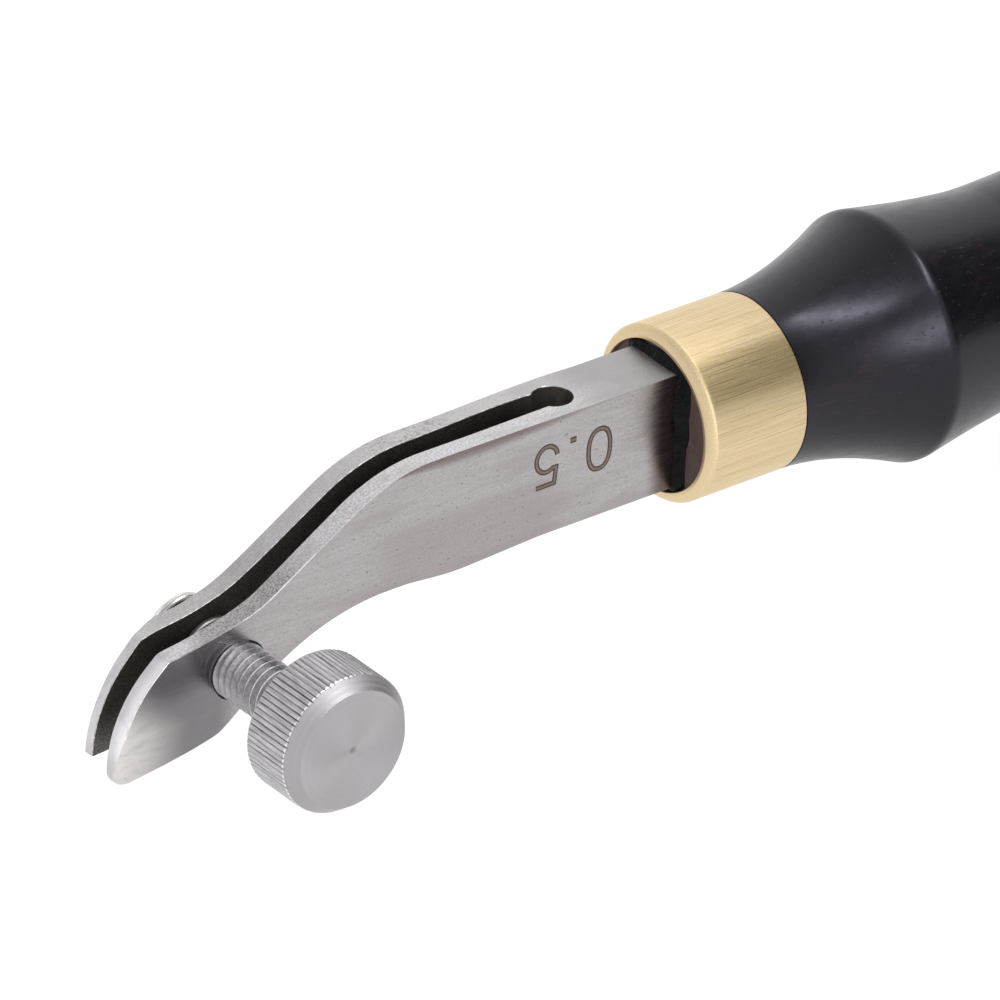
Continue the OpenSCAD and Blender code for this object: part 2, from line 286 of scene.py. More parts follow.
def steel_top():
    """Upper edge of the bar: matt grain, brighter on the near jaw, pitted in places."""
    n = Nodes("steel_top", TOP_STEEL, 0.46, 1.0)
    grain = n.noise(5.5, detail=4, roughness=0.75)
    cloud = n.noise((0.3, 0.6, 0.6), detail=3)
    ahead, across = n.ahead(), n.axis("Y")
    near_side = n.span(across, 1.5, -2.4, 0.30, 1.0)
    beside_screw = n.times(n.span(ahead, 35, 40), n.span(ahead, 48.5, 45.5), near_side)
    far_middle = n.times(n.span(ahead, 17, 22), n.span(ahead, 30, 25), n.span(across, 0.2, 1.0, 0.0, 0.75))
    pits = n.span(n.noise((5.5, 6.5, 6.5), detail=3, roughness=0.7), 0.46, 0.60)
    spots = n.span(n.noise((3.4, 4.6, 4.6), detail=3, roughness=0.65), 0.54, 0.63)
    n.tone = n.mix(n.span(grain, 0.40, 0.60), (0.48, 0.465, 0.475), (0.72, 0.705, 0.72))
    n.paint(n.span(across, -0.6, 0.9, 0.0, 0.5), (0.46, 0.45, 0.455))
    n.paint(n.span(cloud, 0.45, 0.7, 0.0, 0.45), (0.41, 0.395, 0.395))
    n.paint(n.span(ahead, 11, 6, 0.0, 0.65), (0.35, 0.335, 0.34))
    n.paint(n.times(beside_screw, 0.5), (0.30, 0.29, 0.29))
    n.paint(n.times(pits, beside_screw, 0.75), (0.12, 0.11, 0.108))
    n.paint(n.times(spots, far_middle), (0.18, 0.165, 0.16))
    return n.dress(n.bump(grain, 0.020), n.span(grain, 0.2, 0.8, 0.38, 0.56))


def steel_edge(name, dull, bright, bare, **grain):
    """Edge steel, light overall as a painted highlight and rubbed by handling from dull to bright, over the
    range of wear that bare gives.
    """
    n = Nodes(name, bright, 0.4, 1.0)
    wear = n.noise(2.2, **grain)
    n.tone = n.mix(n.span(wear, *bare), dull, bright)
    return n.dress(roughness=n.between(wear, 0.34, 0.48))


def steel_polished():
    """Polished front of the jaws, with a painted highlight towards the near side, and faint lengthwise
    marks.
    """
    n = Nodes("steel_polished", POLISHED_STEEL, 0.2, 1.0)
    marks = n.noise((1.2, 12, 1.2), detail=3)
    cloud = n.noise((0.6, 1.0, 0.6), detail=3)
    n.paint(n.span(cloud, 0.40, 0.65), shade(POLISHED_STEEL, 0.88))
    # Painted highlight: lighter towards the near jaw's outer edge
    n.paint(n.span(n.axis("Y"), -1.2, -2.4, 0.0, 0.8), (0.90, 0.885, 0.91))
    n.paint(n.span(marks, 0.45, 0.65, 0.0, 0.4), (0.70, 0.69, 0.70))
    n.paint(n.span(n.axis("Z"), -11.5, -13.5, 0.0, 0.8), (0.49, 0.475, 0.48))
    return n.dress(n.bump(marks, 0.0012), n.between(marks, 0.18, 0.28))


def steel_slot():
    """Sawn walls of the slot and of the relief hole, painted near black as the shade inside them, lighter
    towards the toes.
    """
    n = Nodes("steel_slot", SLOT_STEEL, 0.55, 0.9)
    grain = n.noise(6, detail=4, roughness=0.65)
    scale = n.noise(0.9, detail=2)
    toe = n.span(n.axis("Z"), -9.5, -13.2)
    hole = n.span(n.ahead(), 14, 11)
    # Painted shade: the walls' tone is near black
    n.tone = n.mix(n.span(grain, 0.35, 0.7), (0.05, 0.044, 0.043), (0.14, 0.125, 0.122))
    n.paint(n.times(hole, 0.6), (0.21, 0.18, 0.17))
    n.paint(n.times(scale, 0.5), (0.045, 0.035, 0.03))
    n.paint(n.times(toe, n.span(grain, 0.30, 0.66, 0.1, 0.8)), (0.36, 0.34, 0.335))
    return n.dress(n.bump(grain, 0.02))


def steel_knurled():
    """Knob's rim and back, the screw's flange and its journal: turned steel."""
    n = Nodes("steel_knurled", KNOB_STEEL, 0.36, 1.0)
    grain = n.noise(8, detail=3)
    streaks = n.noise((8, 0.5, 8), detail=4, roughness=0.7)
    n.tone = n.mix(n.span(streaks, 0.35, 0.65), (0.36, 0.35, 0.365), (0.60, 0.59, 0.605))
    return n.dress(n.bump(grain, 0.004), n.between(grain, 0.30, 0.44))


def steel_thread():
    """Flanks of the screw's thread: duller than the knob, and darker underneath as painted shade."""
    n = Nodes("steel_thread", THREAD_STEEL, 0.4, 1.0)
    grain = n.noise(3.5, detail=4, roughness=0.6)
    n.tone = n.mix(n.span(grain, 0.35, 0.65), (0.41, 0.40, 0.42), (0.57, 0.56, 0.585))
    # Painted shade on the faces that point down
    n.paint(n.span(n.upward(), 0.3, -0.6, 0.0, 0.75), (0.17, 0.165, 0.17))
    return n.dress(n.bump(grain, 0.003), n.between(grain, 0.33, 0.46))


def steel_faced():
    """End face and chamfer of the knob: faint turning marks in rings about the screw's axis, a painted
    reflection in wedges, and painted shade in the dimple.
    """
    n = Nodes("steel_faced", KNOB_STEEL, 0.27, 1.0)
    across = n.math("SUBTRACT", n.axis("X"), SCREW_X)
    up = n.math("SUBTRACT", n.axis("Z"), SCREW_Z)
    radius = n.math("SQRT", n.math("ADD", n.times(across, across), n.times(up, up)))
    turning = {"W": radius, "Scale": 3.2, "Detail": 5.0}
    rings = n.add("ShaderNodeTexNoise", turning, noise_dimensions="1D").outputs["Fac"]
    painted_sheen_wedges = n.math("SINE", n.times(n.math("ARCTAN2", up, across), 2.0))
    n.tone = n.mix(n.between(rings, 0, 1), (0.43, 0.415, 0.43), (0.47, 0.455, 0.47))
    # Painted reflection: wedges of lighter and darker tone round the screw's axis
    n.paint(n.span(painted_sheen_wedges, -1, 1, 0.0, 0.30), (0.36, 0.34, 0.35))
    n.paint(n.times(n.noise(0.45, detail=3), 0.4), (0.37, 0.35, 0.36))
    # Painted shade in the centre's dimple
    n.paint(n.span(radius, 0.5, 0.0, 0.0, 0.7), (0.20, 0.19, 0.19))
    n.brush("Y")
    return n.dress(n.bump(rings, 0.002), n.between(rings, 0.43, 0.51))


def steel_rim():
    """Collar's rim: bright, with rolled streaks around it."""
    n = Nodes("steel_rim", POLISHED_STEEL, 0.22, 1.0)
    streaks = n.noise((0.6, 6, 0.6), detail=3)
    n.tone = n.mix(n.span(streaks, 0.40, 0.60), (0.50, 0.50, 0.49), (0.92, 0.92, 0.90))
    return n.dress(n.bump(streaks, 0.004))


def brass():
    """Ferrule: brushed lengthwise, with fine dark scratches, most of them in a stripe on the near side that
    is also darkened as painted shade.
    """
    n = Nodes("brass", BRASS, 0.43, 1.0)
    up = n.axis("Z")
    barrel = n.span(n.axis("X"), MOUTH_X + 0.6, MOUTH_X + 1.0)
    streaks = n.noise((0.09, 9, 9), detail=6, roughness=0.8)
    scratches = n.span(n.noise((0.12, 15, 15), detail=3, roughness=0.6), 0.57, 0.62)
    scratch_and_shade_band = n.times(n.span(up, 2.4, 4.4), n.span(up, 6.7, 5.9), n.span(n.axis("Y"), -1, -3), barrel)
    n.tone = n.mix(n.span(streaks, 0.38, 0.62), (0.66, 0.52, 0.29), (0.82, 0.67, 0.43))
    n.paint(n.times(n.noise(0.3, detail=2), 0.35), (0.74, 0.56, 0.37))
    # Painted shade: the stripe that holds most scratches is darker too
    n.paint(n.times(scratch_and_shade_band, 0.65), (0.38, 0.30, 0.15))
    strength = n.times(n.math("ADD", barrel, scratch_and_shade_band), 0.35)
    n.paint(n.times(scratches, strength), (0.20, 0.14, 0.05))
    n.brush("X")
    return n.dress(n.bump(n.times(streaks, barrel), 0.016), n.between(streaks, 0.40, 0.50))


def ebony():
    """Handle: waxed black wood with fine pores along the grain and a few faint reddish streaks."""
    n = Nodes("ebony", EBONY, 0.33)
    grain = n.noise((0.10, 3.4, 3.4), detail=5, distortion=0.3)
    pores = n.span(n.noise((1.6, 5, 5), detail=2), 0.67, 0.76)
    cloud = n.noise((0.10, 0.16, 0.16), detail=2)
    wax = n.noise((0.6, 1.1, 1.1), detail=4)
    n.paint(n.times(n.span(grain, 0.50, 0.75), n.span(cloud, 0.50, 0.66)), EBONY_STREAK)
    n.paint(n.times(pores, 0.7), (0.003, 0.003, 0.003))
    tenon = n.span(n.axis("X"), FERRULE_BACK_X - 1, FERRULE_BACK_X - 2)
    end_tone = n.mix(n.noise((0.8, 2.2, 0.9), detail=4), shade(END_GRAIN, 0.4), END_GRAIN)
    # Painted shade: less gloss on the faces that point down
    n.set("Specular IOR Level", n.span(n.upward(), -0.9, 0.1, 0.15, 0.38))
    n.set("Specular Tint", (0.84, 0.82, 1.0, 1))
    relief = n.bump(wax, 0.006, after=n.bump(pores, 0.03, strength=0.6))
    roughness = n.math("ADD", n.between(wax, 0.24, 0.31), n.times(tenon, 0.3))
    n.paint(tenon, end_tone)
    return n.dress(relief, roughness)


def glue():
    """Black epoxy, glossy and a little uneven."""
    n = Nodes("glue", GLUE, 0.14)
    swell = n.noise(1.1, detail=3)
    dust = n.span(n.noise(5, detail=2), 0.72, 0.77)
    n.set("Specular IOR Level", 0.08)
    n.paint(dust, (0.06, 0.055, 0.05))
    return n.dress(n.bump(swell, 0.22), n.between(swell, 0.06, 0.16))


def etched(name, color):
    """Laser-etched size mark."""
    n = Nodes(name, color, 0.5, 0.6)
    grain = n.noise(9, detail=3)
    n.tone = n.mix(n.span(grain, 0.35, 0.65), shade(color, 0.8), shade(color, 1.2))
    return n.dress(n.bump(grain, 0.006))


# Near black steel, a painted shade: in the slot, the relief hole and the screw's holes, and on the collar's
# side that faces the jaw
STEEL_SLOT = steel_slot()
# Crests of the thread, ends of the knob's teeth and the near jaw's front edge, lit by a painted highlight
STEEL_BRIGHT = steel_edge("steel_bright", (0.70, 0.685, 0.69), BRIGHT_STEEL, (0.40, 0.62), detail=3)
# Edges along the slot: worn, and lightened as a painted highlight
STEEL_WEAR_AND_SHEEN = steel_edge(
    "steel_wear_and_sheen", (0.34, 0.33, 0.335), WEAR_AND_SHEEN_STEEL, (0.38, 0.64), detail=4, roughness=0.65,
)


# Mesh helpers

SHARP_ANGLE = math.radians(32)
MERGE_DISTANCE = 0.0004
TINY = 1e-9
FIT_GAP = 0.02
SCREW_SEGMENTS, TURNED_SEGMENTS = 96, 160


def finish_mesh(name, bm, materials, sharp_angle=SHARP_ANGLE):
    """A piece from a mesh in millimetres: smooth, apart from the edges that turn sharply."""
    bmesh.ops.remove_doubles(bm, verts=bm.verts, dist=MERGE_DISTANCE)
    bmesh.ops.dissolve_degenerate(bm, edges=bm.edges, dist=MERGE_DISTANCE / 2)
    bmesh.ops.recalc_face_normals(bm, faces=bm.faces)
    bmesh.ops.scale(bm, vec=(MM, MM, MM), verts=bm.verts)
    mesh = bpy.data.meshes.new(name)
    bm.to_mesh(mesh)
    bm.free()
    for material in materials:
        mesh.materials.append(material)
    mesh.polygons.foreach_set("use_smooth", [True] * len(mesh.polygons))
    mesh.set_sharp_from_angle(angle=sharp_angle)
    return add_object(name, mesh)


def add_grid(bm, rows, material=None, wrap_rows=False):
    """Quads between closed rows of points. material picks a slot from a row's and a column's number."""
    made = [[bm.verts.new(point) for point in row] for row in rows]
    row_count, column_count = len(made), len(made[0])
    for i in range(row_count if wrap_rows else row_count - 1):
        for j in range(column_count):
            below, above = made[i], made[(i + 1) % row_count]
            beside = (j + 1) % column_count
            face = bm.faces.new((below[j], below[beside], above[beside], above[j]))
            face.material_index = material(i, j) if material else 0
    return made


def on_x_axis(along, radius, angle):
    return (along, radius * math.cos(angle), radius * math.sin(angle))


def on_screw_axis(along, radius, angle):
    return (SCREW_X + radius * math.sin(angle), along, SCREW_Z + radius * math.cos(angle))


def add_lathe(bm, profile, place, segments, closed=False, material=None):
    """A turned form. Its profile is a list of (along, radius), whose ends are joined if it is closed."""
    turn = 2 * math.pi / segments
    rows = [[place(along, radius, turn * j) for j in range(segments)] for along, radius in profile]
    add_grid(bm, rows, material, wrap_rows=closed)


def arc(centre, radius, start, end, steps):
    """Points of an arc between two angles in degrees."""
    angles = np.radians(np.linspace(start, end, steps + 1))
    return [(centre[0] + radius * math.cos(a), centre[1] + radius * math.sin(a)) for a in angles]


def rounded(corners, steps):
    """Open outline through corners given as (ahead, up, rounding), as an array of points."""
    points = [np.array(corners[0][:2], float)]
    for before, corner, after in zip(corners, corners[1:], corners[2:]):
        middle, radius = np.array(corner[:2], float), corner[2]
        if radius == 0:
            points.append(middle)
            continue
        back, onward = np.array(before[:2]) - middle, np.array(after[:2]) - middle
        back, onward = back / np.linalg.norm(back), onward / np.linalg.norm(onward)
        half = math.acos(np.clip(back @ onward, -1, 1)) / 2
        toward = (back + onward) / np.linalg.norm(back + onward)
        centre = middle + toward * radius / math.sin(half)
        first, last = (middle + way * radius / math.tan(half) - centre for way in (back, onward))
        start = math.atan2(first[1], first[0])
        sweep = math.atan2(first[0] * last[1] - first[1] * last[0], first @ last)
        for angle in np.linspace(start, start + sweep, steps + 1):
            points.append(centre + radius * np.array((math.cos(angle), math.sin(angle))))
    points.append(np.array(corners[-1][:2], float))
    return np.array(points)


class Outline:
    """A path in the bar's side view, walked by its length with the metal on its right."""

    PROBE = 0.02

    def __init__(self, corners, steps=48):
        self.points = rounded(corners, steps)
        lengths = np.linalg.norm(np.diff(self.points, axis=0), axis=1)
        self.travelled = np.concatenate(([0], np.cumsum(lengths)))
        self.length = self.travelled[-1]

    def at(self, lengths):
        return np.stack([np.interp(lengths, self.travelled, self.points[:, k]) for k in (0, 1)], axis=-1)

    def inward(self, lengths):
        """Unit vectors that point into the metal."""
        along = self.at(np.array(lengths) + self.PROBE) - self.at(np.array(lengths) - self.PROBE)
        along /= np.linalg.norm(along, axis=-1, keepdims=True)
        return np.stack([along[..., 1], -along[..., 0]], axis=-1)

    def length_at(self, spot):
        """Length up to where the path passes nearest to a spot."""
        spot = np.array(spot)
        best = (math.inf, 0.0)
        for a, b, travelled in zip(self.points, self.points[1:], self.travelled):
            step = b - a
            length = max(np.linalg.norm(step), TINY)
            share = np.clip((spot - a) @ step / length ** 2, 0, 1)
            best = min(best, (np.linalg.norm(a + share * step - spot), travelled + share * length))
        return best[1]

    def spread(self, count):
        """Points at even steps along the path."""
        return self.at(np.linspace(0, self.length, count))


def smooth_max(a, b, width):
    """The larger of two values, rounded where they cross."""
    share = np.clip(0.5 + 0.5 * (a - b) / width, 0, 1)
    return b + (a - b) * share + width * share * (1 - share)


# Bar: a shank and two jaws

SEAM_AHEAD = 5.0
HALF_SLOT = 0.95
RELIEF_RADIUS = 1.6
RELIEF_AHEAD = 10.3
PAIRED_AHEAD = 22.0
NEAR, FAR = -1, 1

# Corners of a jaw's side outline, as (ahead, up, rounding)
BEND = (28.75, BAR_TOP, 15)
DIP = (41.4, -2.75, 10)
BROW = (49.85, -4.75, 0.8)
FRONT = (54.5, -8.937, 10.75)
NEAR_TOE = (54.5, -15.8, 1.5)
HEEL = (45.0, -12.8, 3)
BELLY = (35.7, -BAR_BOTTOM, 20)
# The lower edge swells a little where it was ground by hand
SWELL = ((26.8, -BAR_BOTTOM, 15), (22.2, -BAR_BOTTOM - 0.44, 22), (13.5, -BAR_BOTTOM, 25))
# The far jaw's front follows the near one's from past the brow down to a toe of its own
PAST_BROW, FAR_TOE_UP = 0.3, -13.5
# Points of the lower edge that stand under the bend and the dip of the upper edge
UNDER_BEND = (29.5, -BAR_BOTTOM)
UNDER_DIP = (38.6, -7.6)

# Width on the near side of the hand-ground bevel along the upper edge, as (ahead, width)
NEAR_BEVEL = np.array([
    (3.0, 0.05), (5.7, 0.09), (8.8, 0.22), (12.0, 0.42), (14.0, 0.58), (18.0, 0.68), (20.0, 0.77),
    (23.0, 0.76), (26.0, 0.48), (28.2, 0.03), (31.0, 0.09),
])
NEAR_BEVEL_END = 28.5
# From here ahead the near jaw's upper outer edge takes the bright steel, a painted highlight
BRIGHT_EDGE_FROM = 36.0
BEVEL_SPREAD = 1.4
BEVEL_LEAN = 0.12
BEVEL_POWER = 1.5
EDGE_BREAK = 0.07
SIDE_BREAK = 0.10
FAR_BREAK = 0.03
FAR_BEVEL, FAR_BEVEL_RUN, FAR_BEVEL_RUN_IN = 0.80, 2.0, 2.6
FAR_BEVEL_GROWTH, FAR_BEVEL_GROWTH_RUN = 0.25, 5.0
FRONT_BREAK = 0.10
TOE_BREAK = 0.85
TOE_BREAK_RUN, TOE_BREAK_POWER = 4.5, 1.5

# How far from the middle the hand-filed walls of each jaw run, as (ahead, distance)
NEAR_INNER = (
    (RELIEF_AHEAD, HALF_SLOT), (12, 1.0), (20, 1.1), (34, 1.05), (42, 1.15), (45, 1.3), (47.7, 1.2),
    (49.5, HALF_SLOT),
)
NEAR_OUTER = ((0, HALF_BAR),)
FAR_INNER = (
    (RELIEF_AHEAD, HALF_SLOT), (11.6, 1.3), (15, 1.35), (19, 1.15), (24, 0.9), (38, 0.95), (41, 1.1),
    (45, 0.95), (48.8, 1.4), (50.5, 1.2), (54.5, 0.92),
)
FAR_OUTER = (
    (6, HALF_BAR), (9, 3.1), (13, 3.05), (21, 2.75), (39, 2.77), (41, 2.84), (43, 2.7), (45.5, 2.58),
    (47.6, 3.03), (50, HALF_BAR),
)
WALLS = {NEAR: (NEAR_INNER, NEAR_OUTER), FAR: (FAR_INNER, FAR_OUTER)}
WALL_EASE, WALL_EASE_STEPS = 1.0, 9

# Faces across each strip of a section, in the order in which the section is walked
STRIPS = (
    ("outer edge", 4), ("side", 26), ("low edge", 4), ("bottom", 4),
    ("low inner edge", 4), ("inner", 12), ("inner edge", 4), ("top", 4),
)
STRIP_OF_COLUMN = [name for name, count in STRIPS for _ in range(count)]
EDGE_FACES = STRIPS[0][1]
# How close to its edges a strip's first and last rows run
SUPPORT = 0.03

# Counts of sections along the solid root, the relief hole, the slot and the stretches of a jaw
ROOT_STEPS, HOLE_STEPS, SLOT_STEPS, JAW_STEPS = 8, 29, 22, (26, 40, 40, 70)


def jaw_stations(side):
    """A jaw's outline, lengths along it of paired upper and lower points, and the slot's half width."""
    corners = [
        (SEAM_AHEAD, BAR_TOP, 0), BEND, DIP, BROW, FRONT, NEAR_TOE, HEEL, BELLY, *SWELL,
        (SEAM_AHEAD, -BAR_BOTTOM, 0),
    ]
    outline = Outline(corners)
    upper_end = lower_end = outline.length_at(NEAR_TOE[:2])
    if side == FAR:
        front = [p for p in outline.points if p[0] > BROW[0] + PAST_BROW and FAR_TOE_UP < p[1]]
        slope = (HEEL[1] - NEAR_TOE[1]) / (NEAR_TOE[0] - HEEL[0])
        cut_back = HEEL[0] + (HEEL[1] - FAR_TOE_UP) / slope
        cut_front = outline.at(outline.length_at((NEAR_TOE[0], FAR_TOE_UP)))
        corners[4:6] = [(*p, 0) for p in front] + [(cut_front[0], FAR_TOE_UP, 0), (cut_back, FAR_TOE_UP, 0)]
        outline = Outline(corners)
        toe = outline.length_at((cut_front[0], FAR_TOE_UP))
        upper_end, lower_end = toe - 2 * Outline.PROBE, toe + FAR_BEVEL_RUN + 2 * Outline.PROBE
    hole_end = math.pi - math.asin(HALF_SLOT / RELIEF_RADIUS)
    hole = np.linspace(0, hole_end, HOLE_STEPS)
    solid = np.linspace(SEAM_AHEAD, RELIEF_AHEAD - RELIEF_RADIUS, ROOT_STEPS)[:-1]
    slot_start = RELIEF_AHEAD - RELIEF_RADIUS * math.cos(hole_end)
    slotted = np.linspace(slot_start, PAIRED_AHEAD, SLOT_STEPS)[1:-1]
    ahead = np.concatenate((solid, RELIEF_AHEAD - RELIEF_RADIUS * np.cos(hole), slotted))
    upper, lower = [ahead - SEAM_AHEAD], [outline.length - (ahead - SEAM_AHEAD)]
    pairs = (
        ((PAIRED_AHEAD, BAR_TOP), (PAIRED_AHEAD, -BAR_BOTTOM)),
        (BEND[:2], UNDER_BEND),
        (DIP[:2], UNDER_DIP),
        (BROW[:2], HEEL[:2]),
    )
    marks = [(outline.length_at(top), outline.length_at(low)) for top, low in pairs]
    marks.append((upper_end, lower_end))
    for (top_a, low_a), (top_b, low_b), count in zip(marks, marks[1:], JAW_STEPS):
        share = np.arange(count) / count
        upper.append(top_a + (top_b - top_a) * share)
        lower.append(low_a + (low_b - low_a) * share)
    upper, lower = np.concatenate(upper + [[upper_end]]), np.concatenate(lower + [[lower_end]])
    inner = np.full(len(upper), HALF_SLOT)
    inner[:len(solid)] = 0
    inner[len(solid):len(solid) + len(hole)] = RELIEF_RADIUS * np.sin(hole)
    return outline, upper, lower, inner


def round_edge(share):
    return 1 - math.cos(share * math.pi / 2), 1 - math.sin(share * math.pi / 2)


def flat_edge(share):
    return share, 1 - share


def eased_edge(share):
    """Crisp above and blended into the side below."""
    return share, (1 - share) ** BEVEL_POWER


def section(top, top_in, low, low_in, inner_y, outer_y, breaks):
    """Loop of points around a section of the bar, with each broken edge's (run, depth, kind)."""
    away = 1 if outer_y > inner_y else -1
    shares = np.linspace(0, 1, EDGE_FACES + 1)

    def edge(point, inward, y, facing, size):
        run, depth, kind = size
        steps = [kind(share) for share in shares]
        return [np.array((*(point + inward * run * a), y - facing * depth * b)) for a, b in steps]

    def strip(start, end, count):
        near_end = min(SUPPORT / max(np.linalg.norm(end - start), TINY), 0.5 / count)
        return [start + (end - start) * share for share in np.linspace(near_end, 1 - near_end, count - 1)]

    edges = [
        edge(top, top_in, outer_y, away, breaks[0]),
        edge(low, low_in, outer_y, away, breaks[1])[::-1],
        edge(low, low_in, inner_y, -away, breaks[2]),
        edge(top, top_in, inner_y, -away, breaks[3])[::-1],
    ]
    counts = [count for name, count in STRIPS if not name.endswith("edge")]
    loop = []
    for here, following, count in zip(edges, edges[1:] + edges[:1], counts):
        loop += here + strip(here[-1], following[0], count)
    return [(MOUTH_X - ahead, float(y), float(up)) for ahead, up, y in loop]


def near_bevel(ahead):
    width = BEVEL_SPREAD * np.interp(ahead, NEAR_BEVEL[:, 0], NEAR_BEVEL[:, 1])
    return (width, width * BEVEL_LEAN, eased_edge)


BAR_MATERIALS = [steel_side(), steel_top(), STEEL_SLOT, steel_polished(), STEEL_WEAR_AND_SHEEN, STEEL_BRIGHT]
SIDE_SLOT, TOP_SLOT, INNER_SLOT, POLISHED_SLOT, WEAR_AND_SHEEN_SLOT, BRIGHT_SLOT = range(6)

# The near jaw's outer face is drawn in towards the toe, and a little along the front
TOE_LAND = 0.6
SPOON_RISE = 4.15
SPOON_SKEW = 0.22
SPOON_SOFTNESS = 0.5
FRONT_INSET = 0.36
FRONT_INSET_REACH = 6.0
FRONT_SPOT_COUNT = 200
FRONT_SPOTS = Outline([BROW, FRONT, NEAR_TOE]).spread(FRONT_SPOT_COUNT)


def spoon(loop):
    """A section of the near jaw, thinned towards the toe and the front."""
    full = HALF_BAR - HALF_SLOT
    toe_x = MOUTH_X - NEAR_TOE[0] + NEAR_TOE[2]
    thinned = []
    for x, y, z in loop:
        rise = (full - TOE_LAND) * (z - NEAR_TOE[1]) + SPOON_SKEW * (x - toe_x)
        limit = -HALF_SLOT - TOE_LAND - rise / SPOON_RISE
        from_front = np.min(np.hypot(FRONT_SPOTS[:, 0] - (MOUTH_X - x), FRONT_SPOTS[:, 1] - z))
        inset = FRONT_INSET * max(0.0, 1 - from_front / FRONT_INSET_REACH) ** 2
        outer = smooth_max(-HALF_BAR + inset, limit, SPOON_SOFTNESS)
        thinned.append((x, float(-HALF_SLOT + (y + HALF_SLOT) * (-outer - HALF_SLOT) / full), z))
    return thinned


def wall_at(ahead, table):
    """Distance of a filed wall from the middle, eased where its run turns."""
    places, distances = zip(*table)
    return np.interp(ahead + WALL_EASE * np.linspace(-1, 1, WALL_EASE_STEPS), places, distances).mean()


def settle(loop, side):
    """A section of a jaw, moved to where the jaw's filed walls run."""
    inner, outer = WALLS[side]
    moved = []
    for x, y, z in loop:
        ahead = MOUTH_X - x
        share = np.clip((abs(y) - HALF_SLOT) / (HALF_BAR - HALF_SLOT), 0, 1)
        inner_shift = wall_at(ahead, inner) - HALF_SLOT
        outer_shift = wall_at(ahead, outer) - HALF_BAR
        shift = (1 - share) * inner_shift + share * outer_shift
        moved.append((x, float(y + side * shift), z))
    return moved


def near_breaks(ahead, past_brow, from_toe_above, from_toe_below):
    """Outer edges of the near jaw: ground along the bar, crisp on the front, rounded away at the toe."""
    def toe_share(run):
        return max(0.0, 1 - run / TOE_BREAK_RUN) ** TOE_BREAK_POWER

    upper = near_bevel(ahead)
    if past_brow > 0:
        size = FRONT_BREAK + (TOE_BREAK - FRONT_BREAK) * toe_share(from_toe_above)
        upper = (size, size, round_edge)
    size = SIDE_BREAK + (TOE_BREAK - SIDE_BREAK) * toe_share(from_toe_below)
    return upper, (size, size, round_edge)


def far_breaks(ahead, past_brow, from_toe_above, from_toe_below):
    """Outer edges of the far jaw: a broad flat bevel round the front."""
    share = np.clip(1 + past_brow / FAR_BEVEL_RUN_IN, 0, 1)
    growth = FAR_BEVEL_GROWTH * np.clip(past_brow / FAR_BEVEL_GROWTH_RUN, 0, 1)
    depth = FAR_BREAK + (FAR_BEVEL + growth - FAR_BREAK) * share
    run = FAR_BREAK + (FAR_BEVEL_RUN - FAR_BREAK) * share
    return (run, depth, flat_edge), (FAR_BREAK, FAR_BREAK, round_edge)


def jaw(name, side, outer_breaks, hole_radius):
    """One jaw from the seam to its toe, with the screw's hole through it."""
    outline, upper, lower, inner = jaw_stations(side)
    tops, lows = outline.at(upper), outline.at(lower)
    top_in, low_in = outline.inward(upper), outline.inward(lower)
    brow = outline.length_at(BROW[:2])
    rows = []
    for i in range(len(upper)):
        breaks = outer_breaks(tops[i][0], upper[i] - brow, upper[-1] - upper[i], lower[i] - lower[-1])
        inner_break = EDGE_BREAK if inner[i] > 2 * EDGE_BREAK else 0
        breaks += ((inner_break, inner_break, round_edge),) * 2
        loop = section(tops[i], top_in[i], lows[i], low_in[i], side * inner[i], side * HALF_BAR, breaks)
        if side == NEAR and inner[i] == HALF_SLOT:
            loop = spoon(loop)
        rows.append(settle(loop, side))

    def material(i, j):
        strip = STRIP_OF_COLUMN[j]
        on_front, at_toe = upper[i] >= brow, upper[-1] - upper[i] < TOE_BREAK_RUN
        if strip == "inner":
            return INNER_SLOT
        # The slot's edges: worn, with a painted highlight
        if strip == "inner edge":
            return WEAR_AND_SHEEN_SLOT
        if strip == "outer edge" and side == NEAR:
            if at_toe:
                return SIDE_SLOT
            # Ahead of the bevel the outer edge takes the top's steel, then the bright steel as a painted
            # highlight
            if tops[i][0] > NEAR_BEVEL_END:
                return BRIGHT_SLOT if tops[i][0] > BRIGHT_EDGE_FROM else TOP_SLOT
        if strip in ("top", "outer edge") and on_front:
            return POLISHED_SLOT
        return TOP_SLOT if strip == "top" else SIDE_SLOT

    bm = bmesh.new()
    made = add_grid(bm, rows, material)
    bm.faces.new(made[0])
    if side == FAR:
        bm.faces.new(made[-1])
    piece = finish_mesh(name, bm, BAR_MATERIALS)
    drill(piece, hole_radius)
    return piece


def drill(piece, radius):
    """Cuts the screw's cross hole through a jaw."""
    reach = HALF_BAR + DRILL_OVERRUN
    bm = bmesh.new()
    form = [(-reach, 0), (-reach, radius), (reach, radius), (reach, 0)]
    add_lathe(bm, form, on_screw_axis, SCREW_SEGMENTS)
    cutter = finish_mesh("cutter", bm, [STEEL_SLOT])
    cut = piece.modifiers.new("hole", "BOOLEAN")
    cut.operation, cut.object, cut.solver = "DIFFERENCE", cutter, "EXACT"
    cut.material_mode = "TRANSFER"
    graph = bpy.context.evaluated_depsgraph_get()
    mesh = bpy.data.meshes.new_from_object(piece.evaluated_get(graph))
    piece.modifiers.clear()
    piece.data = mesh
    bpy.data.objects.remove(cutter)
    mesh.set_sharp_from_angle(angle=SHARP_ANGLE)


NEAR_HOLE, FAR_HOLE, DRILL_OVERRUN = 2.60, 1.55, 1.0
near_jaw = jaw("near_jaw_skin", NEAR, near_breaks, NEAR_HOLE)
far_jaw = jaw("far_jaw_skin", FAR, far_breaks, FAR_HOLE)

TANG_HEIGHT, TANG_THICKNESS, TANG_BREAK = 6.0, 3.6, 0.2
TANG_END_X = SHANK_HIGH[0]
# Where sections of the root are drawn, ahead of the mouth and just inside it
ROOT_STATIONS = (SEAM_AHEAD, 3.5, 2.0, 0.5, -0.3, MOUTH_X - TENON_X)


